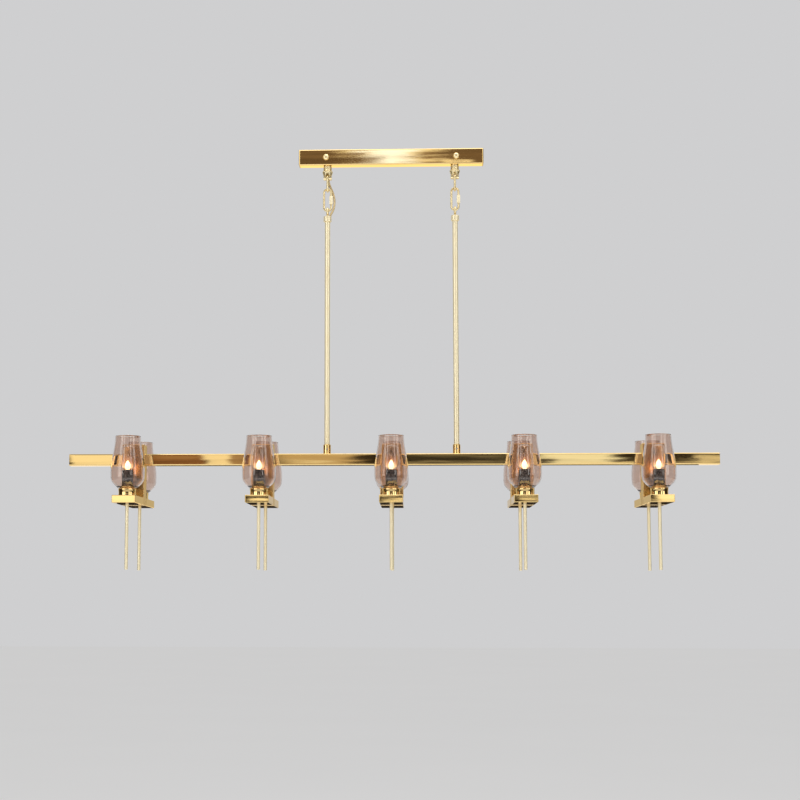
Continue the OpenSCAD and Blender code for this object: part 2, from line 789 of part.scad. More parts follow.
module lamp_arms(i) {
    color(brass) translate([station_x(i), 0, 0]) {
        lamp_arm(-1);
        lamp_arm(1);
    }
}

module lamp_arms_1() { lamp_arms(1); }
module lamp_arms_2() { lamp_arms(2); }
module lamp_arms_3() { lamp_arms(3); }
module lamp_arms_4() { lamp_arms(4); }
module lamp_arms_5() { lamp_arms(5); }

// Screws from inside the box into the arms' end walls
module arm_screws() {
    tip = arm_end_wall - 1;
    color(steel) for (i = [1 : 5], x = [-1, 1]) translate([station_x(i) + x * arm_screw_x, 0, arm_mid]) {
        rod_y(-front_face - tip, -bar_s / 2 + past, arm_screw_d / 2);
        rod_y(-bar_s / 2, -bar_s / 2 + arm_screw_head_h, arm_screw_head_d / 2);
        rod_y(cover_face - past, back_face + tip, arm_screw_d / 2);
        rod_y(cover_face - arm_screw_head_h, cover_face, arm_screw_head_d / 2);
    }
}

// Nuts inside the arms: one on each nipple and one on each drop rod's stud
module arm_nuts() {
    color(steel) at_lamps() {
        translate([0, 0, arm_top - arm_wall - nipple_nut_h])
            hex_nut(nipple_nut_w, nipple_nut_h, nipple_d / 2 + fit_gap);
        translate([0, 0, arm_foot + arm_wall]) hex_nut(drop_nut_w, drop_nut_h, drop_stud_d / 2 + fit_gap);
    }
}

// Lamps

// Hollow threaded tube that clamps lamp holder, cup and arm together
module lamp_nipples() {
    foot = arm_top - arm_wall - nipple_drop;
    top = arm_top + cup_floor + holder_floor;
    color(steel) at_lamps() difference() {
        translate([0, 0, foot]) cylinder(h = top - foot, d = nipple_d);
        translate([0, 0, foot - past]) cylinder(h = top - foot + 2 * past, d = nipple_d - 3);
    }
}

// Turned cup: the shade stands on its top face, round the spigot, and the candle in its bore
module shade_cups() {
    r = cup_d / 2;
    color(brass) at_lamps() difference() {
        rotate_extrude() polygon(concat(
            [[0, arm_top], [r - cup_lip, arm_top], [r - cup_lip / 2, arm_top + cup_lip / 2]],
            [for (t = [0 : 0.2 : 1]) [r - cup_waist * sin(180 * t) / 2, arm_top + cup_lip + t * (cup_h - 3 * cup_lip)]],
            [[r, cup_top - cup_lip], [r - cup_lip / 2, cup_top], [cup_spigot_r, cup_top],
             [cup_spigot_r, cup_top + cup_spigot_h], [0, cup_top + cup_spigot_h]]));
        translate([0, 0, arm_top + cup_floor]) cylinder(h = cup_h + cup_spigot_h, r = candle_r + fit_gap);
        translate([0, 0, arm_top - past]) cylinder(h = cup_floor + 2 * past, r = nipple_d / 2 + fit_gap);
    }
}

module candle_sleeves() {
    foot = arm_top + cup_floor;
    edge = candle_wall * 0.4;
    color(dark_sleeve) at_lamps() rotate_extrude() polygon([[candle_r - candle_wall, foot], [candle_r, foot],
        [candle_r, candle_top - edge], [candle_r - edge, candle_top], [candle_r - candle_wall, candle_top]]);
}

module lamp_holders() {
    foot = arm_top + cup_floor;
    well_r = bulb_cap_d / 2 + fit_gap;
    well_foot = candle_top - cap_len;
    color(cream) at_lamps() difference() {
        translate([0, 0, foot]) cylinder(h = candle_top - foot, r = holder_r);
        translate([0, 0, well_foot - fit_gap]) cylinder(h = cap_len + past, r = well_r);
        translate([0, 0, foot - past]) cylinder(h = holder_floor + past, r = nipple_d / 2 + fit_gap);
        translate([0, 0, foot + holder_floor - past])
            cylinder(h = well_foot - foot - holder_floor + 2 * past, r = nipple_d / 2 - 2);
    }
}

module bulb_caps() {
    r = bulb_cap_d / 2;
    color(steel) at_lamps() rotate_extrude() polygon([[0, candle_top - cap_len], [r * 0.45, candle_top - cap_len],
        [r * 0.55, candle_top - cap_len + 3], [r, candle_top - cap_len + 4], [r, candle_top + cap_lip_h],
        [0, candle_top + cap_lip_h]]);
}

// Tubular glass envelope with a domed top, open at its neck where the cap closes it
module bulbs() {
    r = bulb_d / 2;
    foot = candle_top + cap_lip_h;
    h = bulb_h - cap_lip_h;
    outer = concat(
        [for (k = [0 : 5]) bezier([bulb_neck_r, 0], [r * 0.8, bulb_taper_h * 0.1],
            [r, bulb_taper_h * 0.4], [r, bulb_taper_h], k / 5)],
        [for (a = [0 : 15 : 75]) [r * cos(a), h - bulb_dome_h * (1 - sin(a))]]);
    inner = inward(outer, bulb_wall);
    color(clear_glass) at_lamps() translate([0, 0, foot]) rotate_extrude()
        polygon(concat(outer, [[0, h], [0, h - bulb_wall]], backwards(inner)));
}

// Plain rod under each lamp, with a stud through the arm's bottom wall
module drop_rods() {
    r = drop_d / 2;
    edge = 0.5;
    foot = arm_foot - drop_l;
    color(satin_brass) at_lamps() rotate_extrude() polygon([[0, foot], [r - edge, foot], [r, foot + edge],
        [r, arm_foot], [drop_stud_d / 2, arm_foot], [drop_stud_d / 2, arm_foot + drop_stud_l],
        [0, arm_foot + drop_stud_l]]);
}

// Glass shades

// Outline of the outside, from the foot to the rim: a curve up to the belly, then a cosine to the rim
function shade_outline() =
    let (foot_r = shade_foot_d / 2, belly_r = shade_belly_d / 2, rim_r = shade_rim_d / 2,
         turn = [belly_r, shade_turn_h], lower = 9, upper = 9)
    concat(
        [for (k = [0 : lower]) bezier([foot_r, 0], turn, turn, [belly_r, shade_belly_h], k / lower)],
        [for (k = [1 : upper]) let (t = k / upper)
            [rim_r + (belly_r - rim_r) * (1 + cos(180 * t)) / 2,
             shade_belly_h + (shade_h - shade_belly_h) * t]]);

module shade_glass() {
    outer = shade_outline();
    inner = [for (p = inward(outer, shade_wall)) if (p[1] > shade_wall * 1.3) [p[0], min(p[1], shade_h)]];
    rotate_extrude() polygon(concat([[shade_hole_r, 0]], outer, backwards(inner),
        [[inner[0][0] - shade_wall, shade_wall * 1.3], [shade_hole_r, shade_wall * 1.3]]));
}

module shade(i, side) {
    color(smoked_rose) translate([station_x(i), side * lamp_y, shade_z]) shade_glass();
}

module shade_1_front() { shade(1, -1); }
module shade_1_rear() { shade(1, 1); }
module shade_2_front() { shade(2, -1); }
module shade_2_rear() { shade(2, 1); }
module shade_3_front() { shade(3, -1); }
module shade_3_rear() { shade(3, 1); }
module shade_4_front() { shade(4, -1); }
module shade_4_rear() { shade(4, 1); }
module shade_5_front() { shade(5, -1); }
module shade_5_rear() { shade(5, 1); }

canopy_shell();
ceiling_bracket();
hanger_blocks();
canopy_studs();
canopy_nuts();
terminal_block();
hook_left();
hook_right();
hook_lock_nuts();
hook_pins();
upper_link_left();
upper_link_right();
quick_link_left();
quick_link_right();
gate_sleeve_left();
gate_sleeve_right();
supply_cord();
rod_eye_left();
rod_eye_right();
rod_collar_left();
rod_collar_right();
down_rod_left();
down_rod_right();
rod_couplings();
coupling_screws();
coupling_nuts();
main_bar();
bar_end_caps();
station_box_1();
station_box_2();
station_box_3();
station_box_4();
station_box_5();
station_covers();
cover_screws();
lamp_arms_1();
lamp_arms_2();
lamp_arms_3();
lamp_arms_4();
lamp_arms_5();
arm_screws();
arm_nuts();
lamp_nipples();
shade_cups();
candle_sleeves();
lamp_holders();
bulb_caps();
bulbs();
drop_rods();
shade_1_front();
shade_1_rear();
shade_2_front();
shade_2_rear();
shade_3_front();
shade_3_rear();
shade_4_front();
shade_4_rear();
shade_5_front();
shade_5_rear();
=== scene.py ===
"""Looks of a long brass pendant light with ten glass-shaded lamps.

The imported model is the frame: it gives the metal pieces their shapes and places. This script adds
the glass shades, the bulbs, the cord and the hooks' milled rings as finer pieces, gives every piece
its material, and sets up the camera and a pale studio. Sizes are in metres unless a text says mm.
"""

from __future__ import annotations

import json
import logging
import math
from collections.abc import Iterable, Sequence
from dataclasses import dataclass, field
from enum import Enum

import bpy
import numpy as np
from mathutils import Matrix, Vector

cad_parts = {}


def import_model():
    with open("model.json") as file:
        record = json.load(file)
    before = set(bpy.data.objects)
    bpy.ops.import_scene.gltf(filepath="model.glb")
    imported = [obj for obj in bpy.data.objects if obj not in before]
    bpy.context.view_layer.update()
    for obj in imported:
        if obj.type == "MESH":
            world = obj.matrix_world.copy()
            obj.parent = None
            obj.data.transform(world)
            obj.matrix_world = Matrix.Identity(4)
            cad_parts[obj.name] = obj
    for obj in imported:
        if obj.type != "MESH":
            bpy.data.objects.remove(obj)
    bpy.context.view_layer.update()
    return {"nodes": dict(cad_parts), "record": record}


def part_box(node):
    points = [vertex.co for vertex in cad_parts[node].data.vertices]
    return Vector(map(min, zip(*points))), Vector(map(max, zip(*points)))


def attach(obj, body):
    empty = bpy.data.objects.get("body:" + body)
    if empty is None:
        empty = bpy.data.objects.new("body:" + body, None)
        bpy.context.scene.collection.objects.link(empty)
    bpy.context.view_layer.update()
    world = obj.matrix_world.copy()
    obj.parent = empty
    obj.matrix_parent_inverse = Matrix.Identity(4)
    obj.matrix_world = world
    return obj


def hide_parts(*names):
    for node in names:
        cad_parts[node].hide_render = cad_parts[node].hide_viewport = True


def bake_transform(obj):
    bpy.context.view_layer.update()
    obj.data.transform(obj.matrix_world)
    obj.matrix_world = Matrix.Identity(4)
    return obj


LOG = logging.getLogger("pendant")
MM = 0.001
STATIONS = 5
Colour = tuple[float, float, float]
EDGE_TINT = (0.93, 0.78, 0.48, 1.0)


class Slot(str, Enum):
    """Material slots of the record."""

    POLISHED = "polished_brass"
    SATIN = "satin_brass"
    PALE = "pale_gold"
    STEEL = "zinc_steel"
    SLEEVE = "dark_sleeve"
    CREAM = "cream_insulator"
    CORD = "cord_sheath"
    CLEAR = "clear_glass"
    SMOKED = "smoked_glass"


class Side(Enum):
    """The two rows of lamps, with the sign of their place along Y."""

    FRONT = ("front", -1)
    REAR = ("rear", 1)

    @property
    def word(self) -> str:
        """Name of the row, as the frame's nodes spell it."""
        return self.value[0]

    @property
    def sign(self) -> int:
        """Sign of Y on this side of the bar."""
        return self.value[1]


@dataclass(frozen=True)
class Layout:
    """Places that several pieces share, read from the frame.

    Attributes:
        hanger_x: Distance of the two hanging rods from the middle.
        pitch: Distance from one station to the next.
        lamp_y: Distance of the lamps from the middle of the bar.
        cup_top: Height of the cups' top faces.
        candle_top: Height of the candle sleeves' tops.
    """

    hanger_x: float
    pitch: float
    lamp_y: float
    cup_top: float
    candle_top: float

    @classmethod
    def from_frame(cls) -> Layout:
        """Measures the frame's nodes at rest."""
        shade_low, shade_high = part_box("shade_5_rear")
        middle_low, middle_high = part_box("shade_4_rear")
        rod_low, rod_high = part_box("down_rod_right")
        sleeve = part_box("candle_sleeves")
        return cls(
            hanger_x=(rod_low.x + rod_high.x) / 2,
            pitch=(shade_low.x + shade_high.x - middle_low.x - middle_high.x) / 2,
            lamp_y=(shade_low.y + shade_high.y) / 2,
            cup_top=shade_low.z,
            candle_top=sleeve[1].z,
        )

    def lamps(self) -> Iterable[tuple[int, Side, np.ndarray]]:
        """Yields station number, side and the lamp's axis at z = 0."""
        middle = (STATIONS + 1) // 2
        for station in range(1, STATIONS + 1):
            for side in Side:
                place = np.array([(station - middle) * self.pitch, side.sign * self.lamp_y, 0.0])
                yield station, side, place


@dataclass
class Surface:
    """A closed surface of quads and triangles.

    Attributes:
        points: Vertex positions, one row each.
        quads: Vertex numbers of the four-sided faces.
        uv: One pair a vertex: turn round the piece, then metres along it.
        tris: Vertex numbers of the three-sided faces.
    """

    points: np.ndarray
    quads: np.ndarray
    uv: np.ndarray
    tris: np.ndarray = field(default_factory=lambda: np.zeros((0, 3), int))

    def moved(self, by: Sequence[float]) -> Surface:
        """Returns a copy shifted by a vector."""
        return Surface(self.points + np.asarray(by), self.quads, self.uv, self.tris)

    @staticmethod
    def joined(parts: Sequence[Surface]) -> Surface:
        """Returns one surface that holds all the parts."""
        starts = np.cumsum([0] + [len(p.points) for p in parts])
        return Surface(
            np.concatenate([p.points for p in parts]),
            np.concatenate([p.quads + s for p, s in zip(parts, starts)]),
            np.concatenate([p.uv for p in parts]),
            np.concatenate([p.tris + s for p, s in zip(parts, starts)]),
        )


class Former:
    """Makes surfaces from profiles and paths, with whole-array arithmetic."""

    @staticmethod
    def ring_faces(rows: int, cols: int, closed_rows: bool = True) -> np.ndarray:
        """Quads of a grid whose columns close into rings and whose rows may."""
        i = np.arange(rows if closed_rows else rows - 1)[:, None]
        j = np.arange(cols)[None, :]
        k, up = (j + 1) % cols, (i + 1) % rows
        return np.stack([i * cols + j, i * cols + k, up * cols + k, up * cols + j], -1).reshape(-1, 4)

    @classmethod
    def turned(cls, profile: Sequence[Sequence[float]], sides: int, closed: bool = False) -> Surface:
        """Turns a profile of (radius, height) about Z.

        Args:
            profile: Points that run anticlockwise with the radius to the right.
            sides: Number of sides round the axis.
            closed: Whether the profile is a loop that never meets the axis.

        Returns:
            The turned surface; an open profile gets a point on the axis at each end.
        """
        p = np.asarray(profile, float)
        angle = 2 * math.pi * np.arange(sides) / sides
        rings = np.stack([p[:, :1] * np.cos(angle), p[:, :1] * np.sin(angle),
                          np.repeat(p[:, 1:], sides, 1)], -1)
        steps = np.linalg.norm(np.diff(p, axis=0), axis=1)
        along = np.concatenate([[0.0], np.cumsum(steps)])
        uv = np.stack([np.broadcast_to(angle / (2 * math.pi), (len(p), sides)),
                       np.broadcast_to(along[:, None], (len(p), sides))], -1)
        faces = cls.ring_faces(len(p), sides, closed)
        surface = Surface(rings.reshape(-1, 3), faces, uv.reshape(-1, 2))
        ends = np.array([[0, 0, p[0, 1]], [0, 0, p[-1, 1]]])
        return surface if closed else cls._capped(surface, sides, ends)

    @staticmethod
    def _capped(surface: Surface, cols: int, ends: np.ndarray) -> Surface:
        """Closes the first and the last ring with a fan to a point."""
        n = len(surface.points)
        j = np.arange(cols)
        k = (j + 1) % cols
        low = np.stack([np.full(cols, n), k, j], -1)
        high = np.stack([np.full(cols, n + 1), j + n - cols, k + n - cols], -1)
        return Surface(np.concatenate([surface.points, ends]), surface.quads,
                       np.concatenate([surface.uv, surface.uv[[0, -1]]]), np.concatenate([low, high]))

    @classmethod
    def swept(cls, path: np.ndarray, radius: float, sides: int) -> Surface:
        """Sweeps a circle along an open path.

        Args:
            path: Points of the middle line.
            radius: Radius of the circle.
            sides: Number of its sides.

        Returns:
            The swept surface, with flat ends.
        """
        p = np.asarray(path, float)
        tangent = np.gradient(p, axis=0)
        tangent /= np.linalg.norm(tangent, axis=1, keepdims=True)
        u = cls._carried(tangent)
        v = np.cross(tangent, u)
        angle = 2 * math.pi * np.arange(sides)[None, :, None] / sides
        rings = p[:, None] + radius * (np.cos(angle) * u[:, None] + np.sin(angle) * v[:, None])
        along = np.concatenate([[0.0], np.cumsum(np.linalg.norm(np.diff(p, axis=0), axis=1))])
        uv = np.stack([np.broadcast_to(np.arange(sides) / sides, (len(p), sides)),
                       np.broadcast_to(along[:, None], (len(p), sides))], -1).reshape(-1, 2)
        surface = Surface(rings.reshape(-1, 3), cls.ring_faces(len(p), sides, False), uv)
        return cls._capped(surface, sides, p[[0, -1]])

    @staticmethod
    def _carried(tangent: np.ndarray) -> np.ndarray:
        """A direction square to each tangent, carried along the path with the least twist."""
        first = np.eye(3)[np.argmin(np.abs(tangent[0]))]
        u = np.zeros_like(tangent)
        last = first
        for i, t in enumerate(tangent):
            last = last - t * (last @ t)
            last = last / np.linalg.norm(last)
            u[i] = last
        return u

    @staticmethod
    def smooth(points: Sequence[Sequence[float]], per_span: int) -> np.ndarray:
        """A Catmull-Rom curve through the points.

        Each span is q(t) = ((2 b) + (c - a) t + (2 a - 5 b + 4 c - d) t^2 + (3 b - a - 3 c + d) t^3) / 2.
        """
        p = np.asarray(points, float)
        a, b = np.vstack([2 * p[0] - p[1], p[:-2]]), p[:-1]
        c, d = p[1:], np.vstack([p[2:], 2 * p[-1] - p[-2]])
        t = (np.arange(per_span) / per_span)[None, :, None]
        a, b, c, d = (q[:, None] for q in (a, b, c, d))
        square, cube = 2 * a - 5 * b + 4 * c - d, 3 * b - a - 3 * c + d
        spans = (2 * b + (c - a) * t + square * t**2 + cube * t**3) / 2
        return np.vstack([spans.reshape(-1, p.shape[1]), p[-1:]])

    @staticmethod
    def arc(centre: Sequence[float], radius: float, start: float, end: float, steps: int) -> np.ndarray:
        """Points of an arc in a plane, from one angle to another in degrees."""
        a = np.radians(np.linspace(start, end, steps + 1))
        return np.stack([centre[0] + radius * np.cos(a), centre[1] + radius * np.sin(a)], -1)

    @classmethod
    def filleted(cls, corners: Sequence[Sequence[float]], radius: float, steps: int = 3) -> np.ndarray:
        """Rounds the inner corners of an open outline by cutting each with a small curve."""
        c = np.asarray(corners, float)
        out = [c[:1]]
        for a, b, d in zip(c[:-2], c[1:-1], c[2:]):
            back, on = a - b, d - b
            reach = min(radius, 0.45 * np.linalg.norm(back), 0.45 * np.linalg.norm(on))
            p, q = b + back / np.linalg.norm(back) * reach, b + on / np.linalg.norm(on) * reach
            t = np.linspace(0, 1, steps + 1)[:, None]
            out.append((1 - t) ** 2 * p + 2 * t * (1 - t) * b + t**2 * q)
        return np.concatenate(out + [c[-1:]])


@dataclass(frozen=True)
class Socket:
    """A value in a material's node tree. Arithmetic on it adds Math nodes."""

    graph: Graph
    pin: bpy.types.NodeSocket

    def _math(self, operation: str, *values: Socket | float) -> Socket:
        return self.graph.node("ShaderNodeMath", dict(enumerate(values)), operation=operation)

    def __add__(self, other: Socket | float) -> Socket:
        return self._math("ADD", self, other)

    def __radd__(self, other: float) -> Socket:
        return self._math("ADD", other, self)

    def __sub__(self, other: Socket | float) -> Socket:
        return self._math("SUBTRACT", self, other)

    def __rsub__(self, other: float) -> Socket:
        return self._math("SUBTRACT", other, self)

    def __mul__(self, other: Socket | float) -> Socket:
        return self._math("MULTIPLY", self, other)

    def sine(self) -> Socket:
        """Sine of the value, in radians."""
        return self._math("SINE", self)

    def size(self) -> Socket:
        """The value without its sign."""
        return self._math("ABSOLUTE", self)


class Graph:
    """The node tree of one material, with a Principled shader at its end."""

    NOISE_ROUGHNESS = 0.55

    def __init__(self, name: str) -> None:
        """Makes an empty material of that name."""
        self.material = bpy.data.materials.new(name)
        self.material.use_nodes = True
        self._tree = self.material.node_tree
        self._shader = next(n for n in self._tree.nodes if n.type == "BSDF_PRINCIPLED")

    def node(self, kind: str, inputs: dict | None = None, output: int | str = 0,
             **settings: object) -> Socket:
        """Adds a node of any kind.

        Args:
            kind: Blender's name of the node type.
            inputs: Values or sockets by input name or number.
            output: Which output to return.
            settings: Properties to set on the node.

        Returns:
            The chosen output.
        """
        made = self._tree.nodes.new(kind)
        for key, value in settings.items():
            setattr(made, key, value)
        for key, value in (inputs or {}).items():
            self._plug(made.inputs[key], value)
        return Socket(self, made.outputs[output])

    def _plug(self, pin: bpy.types.NodeSocket, value: Socket | float | Sequence[float]) -> None:
        if isinstance(value, Socket):
            self._tree.links.new(value.pin, pin)
        else:
            pin.default_value = value

    def place(self, scale: Sequence[float]) -> Socket:
        """Object coordinates, stretched along each axis."""
        where = self.node("ShaderNodeTexCoord", output="Object")
        return self.node("ShaderNodeMapping", {"Vector": where, "Scale": scale})

    def uv(self, axis: str) -> Socket:
        """One texture coordinate: X goes round a piece and Y along it, in metres."""
        return self._coordinate("UV", axis)

    def own(self, axis: str) -> Socket:
        """One of the object's own coordinates, in metres."""
        return self._coordinate("Object", axis)

    def _coordinate(self, source: str, axis: str) -> Socket:
        where = self.node("ShaderNodeTexCoord", output=source)
        return self.node("ShaderNodeSeparateXYZ", {0: where}, output=axis)

    def noise(self, scale: float, stretch: Sequence[float] = (1, 1, 1), detail: float = 3.0) -> Socket:
        """Noise from 0 to 1 in object space."""
        return self.node("ShaderNodeTexNoise", {"Vector": self.place(stretch), "Scale": scale,
                                                "Detail": detail, "Roughness": self.NOISE_ROUGHNESS})

    def ramp(self, value: Socket, low: float, high: float) -> Socket:
        """Maps low to 0 and high to 1, smoothly, and keeps the rest within them."""
        return self.node("ShaderNodeMapRange", {"Value": value, "From Min": low, "From Max": high},
                         interpolation_type="SMOOTHSTEP")

    def mix(self, share: Socket, a: Colour, b: Colour) -> Socket:
        """Mixes two colours: a at share 0, b at share 1."""
        return self.node("ShaderNodeMix", {0: share, 6: (*a, 1.0), 7: (*b, 1.0)}, output=2,
                         data_type="RGBA")

    def bump(self, height: Socket, depth: float, strength: float) -> Socket:
        """A normal that follows a height from 0 to 1, of a depth in metres."""
        return self.node("ShaderNodeBump", {"Height": height, "Distance": depth, "Strength": strength})

    def finish(self, **values: Socket | float | Sequence[float]) -> bpy.types.Material:
        """Sets the shader's sockets by name, with _ for a space, and returns the material."""
        for key, value in values.items():
            self._plug(self._shader.inputs[key.replace("_", " ")], value)
        return self.material


class Finishes:
    """Makes each material once and gives it out by its slot."""

    GLASS_IOR = 1.47
    BRAID_STRANDS = 8
    BRAID_LAY = 0.0016
    GLOW = 7.0
    HAZE = 1.5

    def __init__(self) -> None:
        """Makes all the materials."""
        self._made = {
            Slot.POLISHED: self._polished(),
            Slot.SATIN: self._satin("satin_brass", (0.95, 0.86, 0.61), (0.90, 0.78, 0.51), 0.40, 0.7),
            Slot.PALE: self._satin("pale_gold", (0.95, 0.82, 0.50), (0.88, 0.70, 0.38), 0.34),
            Slot.STEEL: self._steel(),
            Slot.SLEEVE: self._sleeve(),
            Slot.CREAM: self._cream(),
            Slot.CORD: self._cord(),
            Slot.CLEAR: self._glass("clear_glass", (0.985, 0.965, 0.94), 0.0),
            Slot.SMOKED: self._glass("smoked_glass", (0.84, 0.72, 0.655), 0.24),
        }
        self.glow = self._glow()
        self.haze = self._haze()
        self.brushed = self._brushed()
        self.filament = self._filament()

    def __getitem__(self, slot: Slot) -> bpy.types.Material:
        """Returns the material of a slot."""
        return self._made[slot]

    @staticmethod
    def _polished() -> bpy.types.Material:
        """Mirror-polished brass: faint buffing lines along the bar and a few dull smudges."""
        g = Graph("polished_brass")
        lines = g.noise(420, (0.02, 1, 1), 2)
        smudge = g.ramp(g.noise(9, (0.6, 1, 1), 5), 0.45, 0.75)
        waves = g.noise(14, (0.35, 1, 1), 2)
        tone = g.mix(g.noise(6, (0.5, 1, 1), 3), (0.80, 0.57, 0.23), (0.88, 0.66, 0.31))
        return g.finish(Base_Color=tone, Metallic=1.0, Specular_Tint=EDGE_TINT,
                        Roughness=0.012 + smudge * 0.03 + lines * 0.012,
                        Normal=g.bump(waves + lines * 0.03, 0.00009, 0.7))

    @staticmethod
    def _satin(name: str, light: Colour, dark: Colour, rough: float,
               metallic: float = 1.0) -> bpy.types.Material:
        """Satin metal plate: fine grain, with slightly darker patches."""
        g = Graph(name)
        grain = g.noise(1500, (1, 1, 0.08), 2)
        patch = g.ramp(g.noise(24, detail=4), 0.35, 0.8)
        return g.finish(Base_Color=g.mix(patch * 0.7, light, dark), Metallic=metallic,
                        Specular_Tint=EDGE_TINT, Roughness=rough + patch * 0.08 + (grain - 0.5) * 0.1,
                        Normal=g.bump(grain, 0.00004, 0.6))

    @staticmethod
    def _steel() -> bpy.types.Material:
        """Zinc-plated steel with cloudy spangle."""
        g = Graph("zinc_steel")
        cloud = g.noise(90, detail=4)
        return g.finish(Base_Color=g.mix(cloud, (0.56, 0.57, 0.60), (0.74, 0.74, 0.73)), Metallic=1.0,
                        Roughness=0.28 + cloud * 0.15, Normal=g.bump(cloud, 0.00005, 0.5))

    @staticmethod
    def _sleeve() -> bpy.types.Material:
        """Dark smooth candle sleeve, a little dusty."""
        g = Graph("dark_sleeve")
        dust = g.ramp(g.noise(70, (1, 1, 0.5), 5), 0.45, 0.8)
        return g.finish(Base_Color=g.mix(dust, (0.014, 0.010, 0.010), (0.040, 0.030, 0.028)),
                        Roughness=0.26 + dust * 0.25, Normal=g.bump(g.noise(320), 0.00005, 0.4))

    @staticmethod
    def _cream() -> bpy.types.Material:
        """Cream moulded insulator."""
        g = Graph("cream_insulator")
        cloud = g.noise(60, detail=4)
        return g.finish(Base_Color=g.mix(cloud, (0.74, 0.70, 0.60), (0.84, 0.81, 0.73)),
                        Roughness=0.42 + cloud * 0.12, Normal=g.bump(g.noise(700), 0.00004, 0.5))

    @classmethod
    def _cord(cls) -> bpy.types.Material:
        """Pale gold braided sheath: two sets of strands that cross on the slant, with painted shade
        darkening the dips between them.
        """
        g = Graph("cord_sheath")
        turn = g.uv("X") * (2 * math.pi * cls.BRAID_STRANDS)
        along = g.uv("Y") * (2 * math.pi / cls.BRAID_LAY)
        weave = ((turn + along).sine() * (turn - along).sine() + 1) * 0.5
        # Painted shade: the colour follows the weave's height, pale gold on the strands and dark brown in
        # the dips between them.
        tone = g.mix(weave, (0.42, 0.29, 0.12), (0.83, 0.69, 0.42))
        return g.finish(Base_Color=tone, Roughness=0.46 - weave * 0.14, Metallic=0.35,
                        Normal=g.bump(weave, 0.00018, 0.7))

    @classmethod
    def _glass(cls, name: str, tint: Colour, ripple: float) -> bpy.types.Material:
        """Glass with a tint and, where it is hand blown, ripples of a strength from 0 to 1."""
        g = Graph(name)
        settings = dict(Base_Color=(*tint, 1.0), Roughness=0.0, IOR=cls.GLASS_IOR, Transmission_Weight=1.0)
        if ripple:
            waves = g.noise(34, (1, 1, 0.22), 2)
            settings["Normal"] = g.bump(waves, 0.0012, ripple)
            settings["Base_Color"] = g.mix(g.noise(11, (1, 1, 1.6), 2), tint,
                                           tuple(c * 0.985 for c in tint))
        return g.finish(**settings)

    @staticmethod
    def _brushed() -> bpy.types.Material:
        """Brass brushed upright: streaks of tone and gloss, which spread the lamps' glow."""
        g = Graph("brushed_brass")
        lines = g.noise(900, (1, 1, 0.015), 3)
        cloud = g.noise(30, (1, 1, 0.3), 4)
        return g.finish(Base_Color=g.mix(lines, (0.66, 0.45, 0.20), (0.86, 0.63, 0.30)), Metallic=1.0,
                        Specular_Tint=EDGE_TINT, Roughness=0.15 + cloud * 0.10 + lines * 0.05,
                        Normal=g.bump(lines, 0.00003, 0.5))

    @classmethod
    def _glow(cls) -> bpy.types.Material:
        """White-hot light source, amber towards its tip. The texture's Y runs from its foot."""
        g = Graph("lamp_glow")
        tip = g.ramp(g.uv("Y"), 0.014, 0.026)
        return g.finish(Base_Color=(1.0, 0.9, 0.7, 1.0), Roughness=0.4, Emission_Strength=cls.GLOW,
                        Emission_Color=g.mix(tip, (1.0, 0.80, 0.50), (0.34, 0.15, 0.045)))

    @classmethod
    def _haze(cls) -> bpy.types.Material:
        """The warm glow that fills the lower part of a bulb and fades out upwards."""
        g = Graph("lamp_haze")
        up = g.uv("Y")
        low = 1.0 - g.ramp(up, 0.006, 0.025)
        high = 1.0 - g.ramp(up, 0.012, 0.040)
        streak = g.noise(500, (1, 1, 0.02), 2)
        return g.finish(Base_Color=(0.0, 0.0, 0.0, 1.0), Roughness=0.8, Specular_IOR_Level=0.0,
                        Emission_Color=g.mix(low, (0.75, 0.27, 0.10), (1.0, 0.66, 0.32)),
                        Emission_Strength=cls.HAZE,
                        Alpha=low * 0.45 + high * (0.10 + streak * 0.24))

    @staticmethod
    def _filament() -> bpy.types.Material:
        """Dark support wires inside the bulb."""
        g = Graph("lamp_wire")
        cloud = g.noise(300)
        return g.finish(Base_Color=g.mix(cloud, (0.30, 0.27, 0.24), (0.52, 0.48, 0.42)), Metallic=1.0,
                        Roughness=0.3 + cloud * 0.1)


